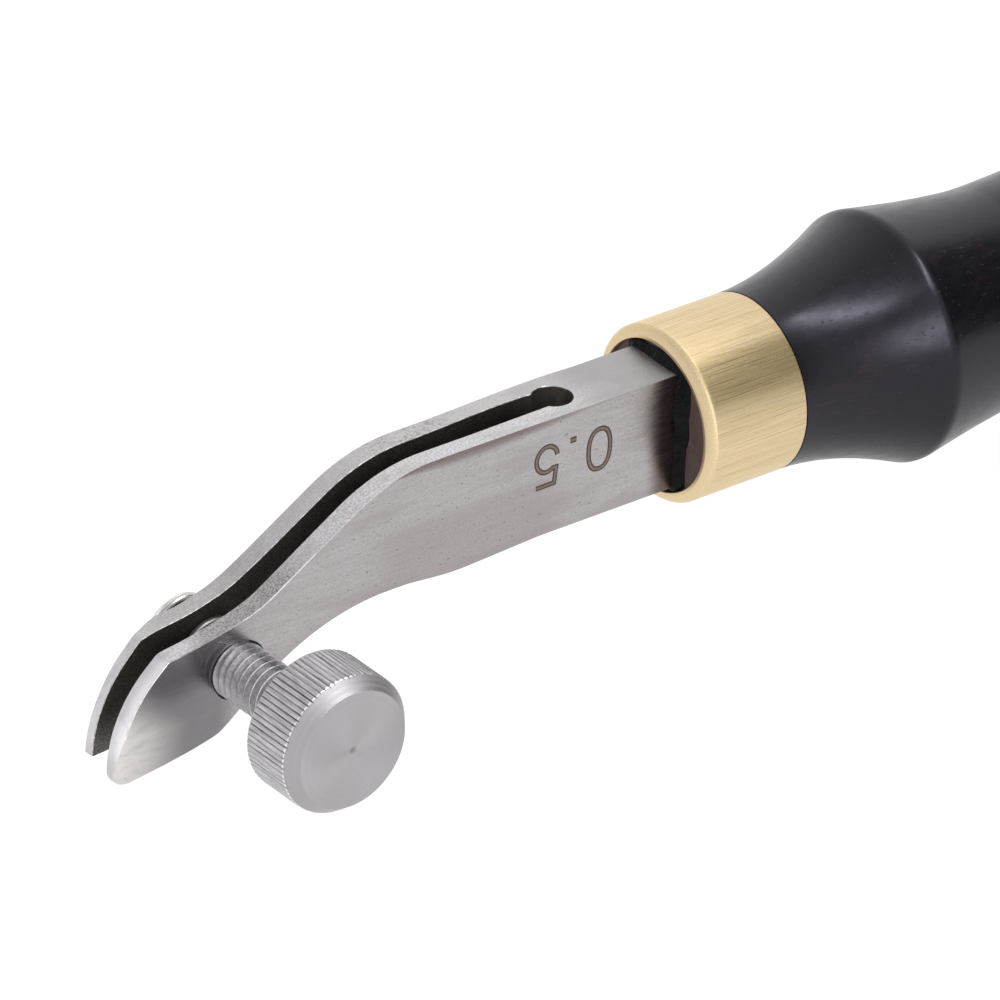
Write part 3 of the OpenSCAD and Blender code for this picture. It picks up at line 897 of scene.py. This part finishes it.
def shank():
    """Solid root of the bar, from the seam back into the handle."""
    down, up = np.array((0, -1)), np.array((0, 1))
    rows = []
    for ahead in ROOT_STATIONS:
        top, low = np.array((ahead, BAR_TOP)), np.array((ahead, -BAR_BOTTOM))
        near_low = (SIDE_BREAK, SIDE_BREAK, round_edge)
        far_edge = (FAR_BREAK, FAR_BREAK, round_edge)
        breaks = (near_bevel(ahead), near_low, far_edge, far_edge)
        rows.append(section(top, down, low, up, HALF_BAR, -HALF_BAR, breaks))
    for x in (TENON_X, TANG_END_X):
        top, low = np.array((MOUTH_X - x, TANG_HEIGHT / 2)), np.array((MOUTH_X - x, -TANG_HEIGHT / 2))
        breaks = ((TANG_BREAK, TANG_BREAK, round_edge),) * 4
        rows.append(section(top, down, low, up, TANG_THICKNESS / 2, -TANG_THICKNESS / 2, breaks))
    bm = bmesh.new()
    made = add_grid(bm, rows, lambda i, j: TOP_SLOT if STRIP_OF_COLUMN[j] == "top" else SIDE_SLOT)
    bm.faces.new(made[0])
    bm.faces.new(made[-1])
    return finish_mesh("shank_skin", bm, BAR_MATERIALS)


shank_skin = shank()


# Thumbscrew and its collar

KNOB_SWELL = 0.13
KNOB_RADIUS = (KNOB_HIGH[0] - KNOB_LOW[0]) / 2 + KNOB_SWELL
KNOB_FRONT_Y = KNOB_LOW[1]
KNOB_LENGTH = 6.0
KNOB_BACK_Y = KNOB_FRONT_Y + KNOB_LENGTH
KNOB_CHAMFER, KNOB_CHAMFER_LENGTH = 0.92, 1.25
KNOB_BACK_CHAMFER = 0.32
KNURL_TEETH = 80
# Depth of the knurl across one tooth, as (share of the tooth, depth)
KNURL_FORM = (
    (0.0, 0.0), (0.20, 0.012), (0.36, 0.05), (0.45, 0.15),
    (0.5, 0.20), (0.55, 0.15), (0.64, 0.05), (0.80, 0.012),
)
# Depth of the teeth's ends, painted bright as a highlight, and their ring in the knob's profile
TOOTH_END, TOOTH_END_RING = 0.07, 7
DIMPLE_RADIUS, DIMPLE_DEPTH = 0.22, 0.14
DIMPLE_LIP_RUN, DIMPLE_LIP_DEPTH = 0.12, 0.04
FACE_EDGE_RUN, FACE_EDGE_DEPTH, FACE_EDGE_RISE, FACE_RING = 0.08, 0.03, 0.01, 0.6
KNURL_VARIATION, KNURL_BEAT = 0.45, 2.4
THREAD_RADIUS, THREAD_PITCH, THREAD_DEPTH = 2.45, 0.8, 0.432
THREAD_CREST, THREAD_ROOT_FLAT = 0.11, 0.18
# How far the thread runs into the knob, turns drawn before its start, and spare turns in all
THREAD_SUNK, TURNS_BEFORE, TURNS_SPARE = 0.6, 1.5, 3
SHOULDER_GAP = 0.05
SHOULDER_Y = HALF_SLOT - SHOULDER_GAP
FLANGE_RADIUS, FLANGE_LENGTH, FLANGE_EDGE = 3.0, 0.5, 0.12
JOURNAL_RADIUS, JOURNAL_ROOT, JOURNAL_SEGMENTS = 1.5, 0.3, 64
PEEN_RADIUS, PEEN_HEIGHT = 1.85, 0.45
# The peened end's outline, as shares of its height and radius
PEEN_FORM = ((0.0, 1.0), (0.5, 0.95), (0.85, 0.7), (1.0, 0.0))
HUB_RADIUS, HUB_LENGTH = 2.2, 1.4
COLLAR_SWELL, COLLAR_ROUND, COLLAR_STEPS = 0.12, 0.32, 17
KNURLED_SLOT, FACED_SLOT, THREAD_SLOT, CREST_SLOT = range(4)


def add_knob(bm):
    """Knurled knob. The chamfers cut each groove where it runs out."""
    face_radius = KNOB_RADIUS - KNOB_CHAMFER

    def chamfered(depth):
        return KNOB_CHAMFER_LENGTH * (1 - depth / KNOB_CHAMFER)

    def profile(depth):
        """Spots from the dimple to the back over a groove of a depth, as (behind the face, radius)."""
        end = max(depth, TOOTH_END)
        return (
            (DIMPLE_DEPTH, 0.0),
            (DIMPLE_LIP_DEPTH, DIMPLE_RADIUS),
            (0.0, DIMPLE_RADIUS + DIMPLE_LIP_RUN),
            (0.0, face_radius * FACE_RING),
            (0.0, face_radius - FACE_EDGE_RUN),
            (FACE_EDGE_DEPTH, face_radius + FACE_EDGE_RISE),
            (KNOB_CHAMFER_LENGTH / 2, face_radius + KNOB_CHAMFER / 2),
            (chamfered(end), KNOB_RADIUS - end),
            (chamfered(depth), KNOB_RADIUS - depth),
            (KNOB_LENGTH / 2, KNOB_RADIUS - depth),
            (KNOB_LENGTH - KNOB_BACK_CHAMFER + depth, KNOB_RADIUS - depth),
            (KNOB_LENGTH, KNOB_RADIUS - KNOB_BACK_CHAMFER),
            (KNOB_LENGTH, 0.0),
        )

    columns = []
    for tooth in range(KNURL_TEETH):
        bite = 1 - KNURL_VARIATION * math.sin(KNURL_BEAT * tooth) ** 2
        for share, depth in KNURL_FORM:
            angle = 2 * math.pi * (tooth + share) / KNURL_TEETH
            spots = profile(bite * depth)
            columns.append([on_screw_axis(KNOB_FRONT_Y + y, radius, angle) for y, radius in spots])

    def material(i, j):
        # The teeth's ends take the bright steel, a painted highlight
        if i == TOOTH_END_RING:
            return CREST_SLOT
        return FACED_SLOT if i < TOOTH_END_RING else KNURLED_SLOT

    add_grid(bm, list(zip(*columns)), material)


def add_thread(bm):
    """Right-hand thread as one helical sheet, cut off square at both ends."""
    start_y, end_y = KNOB_BACK_Y - THREAD_SUNK, SHOULDER_Y
    root = THREAD_RADIUS - THREAD_DEPTH
    flank = (THREAD_PITCH - THREAD_CREST - THREAD_ROOT_FLAT) / 2
    crest_start = THREAD_ROOT_FLAT + flank
    form = (
        (0.0, root), (THREAD_ROOT_FLAT, root),
        (crest_start, THREAD_RADIUS), (crest_start + THREAD_CREST, THREAD_RADIUS),
    )
    crest = 2
    turns = math.ceil((end_y - start_y) / THREAD_PITCH) + TURNS_SPARE
    sheet = bmesh.new()
    columns = []
    for j in range(SCREW_SEGMENTS):
        angle = 2 * math.pi * j / SCREW_SEGMENTS
        lead = start_y + THREAD_PITCH * (j / SCREW_SEGMENTS - TURNS_BEFORE)
        starts = [lead + turn * THREAD_PITCH for turn in range(turns)]
        spots = [(start + share, radius) for start in starts for share, radius in form]
        columns.append([sheet.verts.new(on_screw_axis(*spot, angle)) for spot in spots])
    for j in range(SCREW_SEGMENTS):
        here, beside = columns[j], columns[(j + 1) % SCREW_SEGMENTS]
        offset = len(form) if j == SCREW_SEGMENTS - 1 else 0
        for k in range(len(here) - 1 - offset):
            face = sheet.faces.new((here[k], here[k + 1], beside[k + offset + 1], beside[k + offset]))
            # The crests take the bright steel, a painted highlight
            face.material_index = CREST_SLOT if k % len(form) == crest else THREAD_SLOT
    for y, normal in ((start_y, -1), (end_y, 1)):
        everything = sheet.verts[:] + sheet.edges[:] + sheet.faces[:]
        cut = {"plane_co": (0, y, 0), "plane_no": (0, normal, 0), "clear_outer": True}
        bmesh.ops.bisect_plane(sheet, geom=everything, **cut)
        rim = [e for e in sheet.edges if e.is_boundary and all(abs(v.co.y - y) < 1e-5 for v in e.verts)]
        bmesh.ops.holes_fill(sheet, edges=rim)
    mesh = bpy.data.meshes.new("thread")
    sheet.to_mesh(mesh)
    sheet.free()
    bm.from_mesh(mesh)
    bpy.data.meshes.remove(mesh)


def thumbscrew():
    bm = bmesh.new()
    add_knob(bm)
    add_thread(bm)
    collar_end = COLLAR_HIGH[1]
    flange_start, flange_face = SHOULDER_Y - FLANGE_LENGTH, FLANGE_RADIUS - FLANGE_EDGE
    add_lathe(bm, [
        (flange_start, 0), (flange_start, flange_face), (flange_start + FLANGE_EDGE, FLANGE_RADIUS),
        (SHOULDER_Y - FLANGE_EDGE, FLANGE_RADIUS), (SHOULDER_Y, flange_face), (SHOULDER_Y, 0),
    ], on_screw_axis, SCREW_SEGMENTS)
    journal_start = SHOULDER_Y - JOURNAL_ROOT
    journal = [(journal_start, 0), (journal_start, JOURNAL_RADIUS), (collar_end, JOURNAL_RADIUS)]
    peen = [(collar_end + PEEN_HEIGHT * rise, PEEN_RADIUS * share) for rise, share in PEEN_FORM]
    add_lathe(bm, journal + peen, on_screw_axis, JOURNAL_SEGMENTS)
    materials = [steel_knurled(), steel_faced(), steel_thread(), STEEL_BRIGHT]
    return finish_mesh("thumbscrew_skin", bm, materials)


def collar():
    """Flanged collar on the screw's end, painted black on the side that faces the jaw as the shade there.
    """
    low, high = COLLAR_LOW[1], COLLAR_HIGH[1]
    radius = (COLLAR_HIGH[0] - COLLAR_LOW[0]) / 2 + COLLAR_SWELL
    bore = JOURNAL_RADIUS + FIT_GAP
    flange_start = low + HUB_LENGTH
    back = [(low, bore), (low, HUB_RADIUS), (flange_start, HUB_RADIUS)]
    middle, half = (high + flange_start) / 2, (high - flange_start) / 2
    turns = np.linspace(0, math.pi, COLLAR_STEPS)
    rim = [(middle - half * math.cos(t), radius - COLLAR_ROUND * (1 - math.sin(t))) for t in turns]
    bm = bmesh.new()
    profile = back + rim + [(high, bore)]
    # The hub and the side that faces the jaw take the near black steel, a painted shade
    add_lathe(bm, profile, on_screw_axis, SCREW_SEGMENTS, True, lambda i, j: int(i < len(back)))
    return finish_mesh("collar_skin", bm, [steel_rim(), STEEL_SLOT])


thumbscrew_skin = thumbscrew()
collar_skin = collar()


# Ferrule, glue and handle

FERRULE_WALL = 1.05
LIP_ROUND, LIP_TURN = 1.33, 22.5
INNER_LIP, BACK_LIP = 0.10, 0.16
FERRULE_SHARP, GLUE_SHARP = math.radians(18), math.radians(60)
BORE_RADIUS, BORE_BEYOND_TANG = 4.1, 2.0
BORE_END_X = TANG_END_X + BORE_BEYOND_TANG
TENON_RADIUS = FERRULE_RADIUS - FERRULE_WALL - FIT_GAP
SHOULDER_RADIUS, SHOULDER_BEHIND = 10.7, 13.0
WAIST_RADIUS, WAIST_BEHIND = 9.1, 25.0
PALM_RADIUS, PALM_BEHIND = 11.6, 62.0
BUTT_FLAT_RADIUS = 4.5
COVE_POWER, WAIST_POWER, BUTT_POWER = 1.8, 1.4, 2.4
RIDGE_SOFTNESS, RIDGE_STEPS = 0.45, 21
WOOD_EDGE = 0.05
WOOD_LENGTH = -FERRULE_BACK_X
WOOD_STEPS, BUTT_STEPS = 170, 40
# Waves of the glue's bead around the bar, as (height, count, phase)
BEAD_WAVES = ((0.10, 3, 0.6), (0.05, 7, 2.0))
# The bead's width and how far it climbs along the bar, each with its share of the waves
BEAD_WIDTH, BEAD_WIDTH_WAVE = 1.0, 1.6
BEAD_CLIMB, BEAD_CLIMB_WAVE = 0.12, 0.9
BED_START = 0.3
GLUE_GAP = 0.05
GLUE_SEGMENTS = 144


def ferrule():
    inner = FERRULE_RADIUS - FERRULE_WALL
    front, back = MOUTH_X, FERRULE_BACK_X
    inner_edge = arc((front + INNER_LIP, inner + INNER_LIP), INNER_LIP, 270, 180, 4)
    sink = LIP_ROUND * math.cos(math.radians(LIP_TURN))
    outer_edge = arc((front + sink, FERRULE_RADIUS - sink), LIP_ROUND, 180 - LIP_TURN, 90 + LIP_TURN, 10)
    back_edge = arc((back - BACK_LIP, FERRULE_RADIUS - BACK_LIP), BACK_LIP, 90, 0, 5)
    bm = bmesh.new()
    profile = [(back, inner)] + inner_edge + outer_edge + back_edge
    add_lathe(bm, profile, on_x_axis, TURNED_SEGMENTS, closed=True)
    return finish_mesh("ferrule_skin", bm, [brass()], FERRULE_SHARP)


def wood_radius(behind):
    """Radius of the wood at a distance behind the ferrule."""
    if behind < SHOULDER_BEHIND:
        share = behind / SHOULDER_BEHIND
        return FERRULE_RADIUS + (SHOULDER_RADIUS - FERRULE_RADIUS) * share ** COVE_POWER
    if behind < WAIST_BEHIND:
        share = (behind - SHOULDER_BEHIND) / (WAIST_BEHIND - SHOULDER_BEHIND)
        return WAIST_RADIUS + (SHOULDER_RADIUS - WAIST_RADIUS) * (1 - share) ** WAIST_POWER
    if behind < PALM_BEHIND:
        share = (behind - WAIST_BEHIND) / (PALM_BEHIND - WAIST_BEHIND)
        return WAIST_RADIUS + (PALM_RADIUS - WAIST_RADIUS) * (1 - math.cos(math.pi * share)) / 2
    share = min(1.0, (behind - PALM_BEHIND) / (WOOD_LENGTH - PALM_BEHIND))
    return BUTT_FLAT_RADIUS + (PALM_RADIUS - BUTT_FLAT_RADIUS) * math.sqrt(1 - share ** BUTT_POWER)


def soft_wood_radius(behind):
    """The same radius with the shoulder's ridge eased over a short stretch."""
    from_ridge = abs(behind - SHOULDER_BEHIND) / (2 * RIDGE_SOFTNESS)
    if from_ridge >= 1:
        return wood_radius(behind)
    offsets = np.linspace(-1, 1, RIDGE_STEPS) * RIDGE_SOFTNESS
    weights = 1 - (offsets / RIDGE_SOFTNESS) ** 2
    eased = sum(w * wood_radius(behind + o) for w, o in zip(weights, offsets)) / weights.sum()
    return wood_radius(behind) + (eased - wood_radius(behind)) * (1 - from_ridge ** 2)


def handle():
    front_run = np.linspace(WOOD_EDGE, PALM_BEHIND, WOOD_STEPS)
    butt_turn = np.linspace(0, math.pi / 2, BUTT_STEPS)[1:]
    butt_run = PALM_BEHIND + (WOOD_LENGTH - PALM_BEHIND) * np.sin(butt_turn)
    shoulder_x = FERRULE_BACK_X + FIT_GAP
    profile = [
        (BORE_END_X, 0), (BORE_END_X, BORE_RADIUS), (TENON_X, BORE_RADIUS), (TENON_X, TENON_RADIUS),
        (shoulder_x, TENON_RADIUS), (shoulder_x, FERRULE_RADIUS - WOOD_EDGE),
        *((FERRULE_BACK_X + b, soft_wood_radius(b)) for b in np.concatenate((front_run, butt_run))),
        (0, 0),
    ]
    bm = bmesh.new()
    add_lathe(bm, profile, on_x_axis, TURNED_SEGMENTS)
    return finish_mesh("handle_skin", bm, [ebony()])


def boxed(angle, half_width, top, bottom):
    """Point where a ray at an angle leaves a rectangle around the axis, as (across, up)."""
    c, s = math.cos(angle), math.sin(angle)
    reach = min(half_width / max(abs(c), TINY), (top if s > 0 else bottom) / max(abs(s), TINY))
    return (reach * c, reach * s)


def glue_bed():
    """Glue that beds the tang, with an uneven bead around the bar in the mouth."""
    loops = []
    for j in range(GLUE_SEGMENTS):
        angle = 2 * math.pi * (j + 0.5) / GLUE_SEGMENTS
        wave = sum(height * math.sin(count * angle + phase) for height, count, phase in BEAD_WAVES)
        width = BEAD_WIDTH + BEAD_WIDTH_WAVE * wave
        crest_x = MOUTH_X - (BEAD_CLIMB + BEAD_CLIMB_WAVE * wave)
        # Spots of the bead from the bar outwards, as (x, distance from the bar)
        bead = (
            (crest_x, 0.0),
            (crest_x + 0.16, 0.22),
            (MOUTH_X + 0.18 - 0.4 * wave, 0.45 * width),
            (MOUTH_X + 0.36, 0.8 * width),
            (TENON_X, width),
        )
        loop = []
        for x, growth in bead:
            across, up = boxed(angle, HALF_BAR + growth, BAR_TOP + growth, BAR_BOTTOM + growth)
            limit = min(1.0, (TENON_RADIUS - GLUE_GAP) / math.hypot(across, up))
            loop.append((x, across * limit, up * limit))
        circle = (BORE_RADIUS * math.cos(angle), BORE_RADIUS * math.sin(angle))
        tang = boxed(angle, TANG_THICKNESS / 2, TANG_HEIGHT / 2, TANG_HEIGHT / 2)
        bed = (
            (TENON_X + BED_START, circle), (BORE_END_X, circle),
            (TANG_END_X, tang), (TENON_X + FIT_GAP, tang),
        )
        loops.append(loop + [(x, *spot) for x, spot in bed])
    bm = bmesh.new()
    add_grid(bm, list(zip(*loops)), wrap_rows=True)
    return finish_mesh("glue_bed", bm, [glue()], GLUE_SHARP)


ferrule_skin = ferrule()
handle_skin = handle()
glue_skin = glue_bed()


# Size mark, a plain number etched upside down on the near side

MARK_LIFT, MARK_SINK = 0.006, 0.03
MARK_STROKE, MARK_CORE = 0.46, 0.21
ZERO_CENTRE, ZERO_HALF, ZERO_POWER = (7.75, 0.86), (1.08, 1.81), 2.4
DOT_CENTRE, DOT_WIDTH, DOT_HEIGHT = (10.44, 2.54), 0.62, 0.54
FIVE_BAR_END, FIVE_CORNER, FIVE_JOIN = (14.08, -0.80), (12.26, -0.78), (12.11, 0.62)
BOWL_CENTRE, BOWL_HALF, BOWL_POWER, BOWL_ARC = (13.06, 1.58), (1.05, 1.16), 2, (-132, 172)
ZERO_STEPS, BOWL_STEPS = 73, 50


def ribbon(bm, points, width, lift, closed=False):
    """Flat stroke along points given as (ahead, up) on the bar's near side, mitred where it turns."""
    points = np.array(points, float)
    before = points - np.roll(points, 1, axis=0)
    after = np.roll(points, -1, axis=0) - points
    if not closed:
        before[0], after[-1] = after[0], before[-1]
    before /= np.linalg.norm(before, axis=1)[:, None]
    after /= np.linalg.norm(after, axis=1)[:, None]
    along = before + after
    along /= np.linalg.norm(along, axis=1)[:, None]
    across = np.stack([-along[:, 1], along[:, 0]], axis=1)
    across *= (width / 2 / np.sum(along * after, axis=1))[:, None]
    low, high = -HALF_BAR + MARK_SINK, -HALF_BAR - lift
    rows = []
    for point, offset in zip(points, across):
        left, right = point - offset, point + offset
        corners = ((left, low), (left, high), (right, high), (right, low))
        rows.append([(MOUTH_X - spot[0], y, spot[1]) for spot, y in corners])
    made = add_grid(bm, rows, wrap_rows=closed)
    if not closed:
        bm.faces.new(made[0])
        bm.faces.new(made[-1])


def oval(centre, half, power, angles):
    """Points of a rounded figure at angles in degrees."""
    spots = []
    for angle in np.radians(angles):
        c, s = math.cos(angle), math.sin(angle)
        reach = (math.copysign(abs(c) ** (2 / power), c), math.copysign(abs(s) ** (2 / power), s))
        spots.append((centre[0] + half[0] * reach[0], centre[1] + half[1] * reach[1]))
    return spots


def size_mark():
    """The number's strokes, dark with a paler line along their middle."""
    zero = oval(ZERO_CENTRE, ZERO_HALF, ZERO_POWER, np.linspace(0, 360, ZERO_STEPS)[:-1])
    dot = [(DOT_CENTRE[0] + side * DOT_WIDTH / 2, DOT_CENTRE[1]) for side in (-1, 1)]
    bowl = oval(BOWL_CENTRE, BOWL_HALF, BOWL_POWER, np.linspace(*BOWL_ARC, BOWL_STEPS))
    five = [FIVE_BAR_END, FIVE_CORNER, FIVE_JOIN] + bowl[1:]
    bm = bmesh.new()
    for width, lift in ((MARK_STROKE, MARK_LIFT), (MARK_CORE, 2 * MARK_LIFT)):
        done = len(bm.faces)
        ribbon(bm, zero, width, lift, closed=True)
        ribbon(bm, five, width, lift)
        ribbon(bm, dot, DOT_HEIGHT * width / MARK_STROKE, lift)
        bm.faces.ensure_lookup_table()
        for face in bm.faces[done:]:
            face.material_index = int(width == MARK_CORE)
    return finish_mesh("size_mark", bm, [etched("etched_rim", ETCHED_RIM), etched("etched", ETCHED)])


mark = size_mark()


# Riding on the frame


def bend_with(piece, body):
    """Bakes the piece's placement into its mesh."""
    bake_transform(piece)


for piece, node, slot in (
    (handle_skin, "handle", "ebony"), (ferrule_skin, "ferrule", "brass"),
    (glue_skin, "epoxy", "epoxy"), (shank_skin, "shank", "bar_steel"),
):
    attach(piece, "root")
    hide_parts(node)
for piece, node in ((thumbscrew_skin, "thumbscrew"), (collar_skin, "retaining_collar")):
    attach(piece, "screw")
    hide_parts(node)
for piece, node in ((near_jaw, "near_jaw"), (far_jaw, "far_jaw")):
    bend_with(piece, node)
    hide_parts(node)
bend_with(mark, "near_jaw")


# Floor and light

FLOOR_Z = -15.6 * MM
FLOOR_HALF = 8.0
FLOOR_TONE, FLOOR_GLOW = (0.12, 0.12, 0.12), 0.94


def make_floor():
    bm = bmesh.new()
    corners = [(-1, -1), (1, -1), (1, 1), (-1, 1)]
    bm.faces.new([bm.verts.new((x * FLOOR_HALF, y * FLOOR_HALF, FLOOR_Z)) for x, y in corners])
    mesh = bpy.data.meshes.new("floor")
    bm.to_mesh(mesh)
    bm.free()
    n = Nodes("floor", FLOOR_TONE, 0.9)
    n.set("Emission Color", (1, 1, 1, 1))
    n.set("Emission Strength", FLOOR_GLOW)
    mesh.materials.append(n.material)
    floor = add_object("floor", mesh)


WORLD_TOP = 0.70
WORLD_SIDE = 0.95
# Heights in the sky between which the level goes from the side's to the top's
SIDE_TO_TOP = (0.40, 0.78)
# Stretches with a level of their own, as (direction, cosines where it starts and is full, level)
STRETCHES = (
    ((0.55, 0.62, 0.56), 0.70, 0.95, 1.12),
    ((0.88, -0.40, 0.25), 0.75, 0.95, 0.05),
    ((0.85, -0.12, 0.51), 0.90, 0.98, 0.10),
)


def make_world():
    """Pale surroundings, brightest behind the tool and dim to the right of it."""
    world = bpy.data.worlds.new("studio")
    bpy.context.scene.world = world
    world.use_nodes = True
    n = Tree(world.node_tree)
    background = world.node_tree.nodes["Background"]
    n.put(background, "Color", (1, 1, 1, 1))
    direction = n.add("ShaderNodeTexCoord").outputs["Generated"]
    level = n.span(n.parts(direction)["Z"], *SIDE_TO_TOP, WORLD_SIDE, WORLD_TOP)
    for towards, start, full, own_level in STRETCHES:
        dots = {0: direction, 1: Vector(towards).normalized()}
        facing = n.add("ShaderNodeVectorMath", dots, operation="DOT_PRODUCT").outputs["Value"]
        levels = {"Factor": n.span(facing, start, full), 2: level, 3: own_level}
        level = n.add("ShaderNodeMix", levels, data_type="FLOAT").outputs[0]
    n.put(background, "Strength", level)


def add_lamp(name, towards, long_axis, size, radiance):
    """Soft lamp a metre away in a direction from the tool, with a size along its long axis and across."""
    data = bpy.data.lights.new(name, "AREA")
    data.shape = "RECTANGLE"
    data.size, data.size_y = size
    data.energy = radiance * math.pi * size[0] * size[1]
    away = Vector(towards).normalized()
    along = Vector(long_axis)
    along = (along - away * along.dot(away)).normalized()
    turn = Matrix((along, away.cross(along), away)).transposed().to_4x4()
    add_object(name, data).matrix_world = Matrix.Translation(CAMERA_TARGET + away) @ turn


make_floor()
make_world()
add_lamp("overhead", towards=(0.26, -0.29, 0.92), long_axis=(0.62, 0.78, 0), size=(0.70, 0.13), radiance=13)
add_lamp("front", towards=(-0.11, -0.91, 0.39), long_axis=(0, 0, 1), size=(0.42, 0.28), radiance=5.5)
bpy.context.scene.view_settings.view_transform = "Standard"
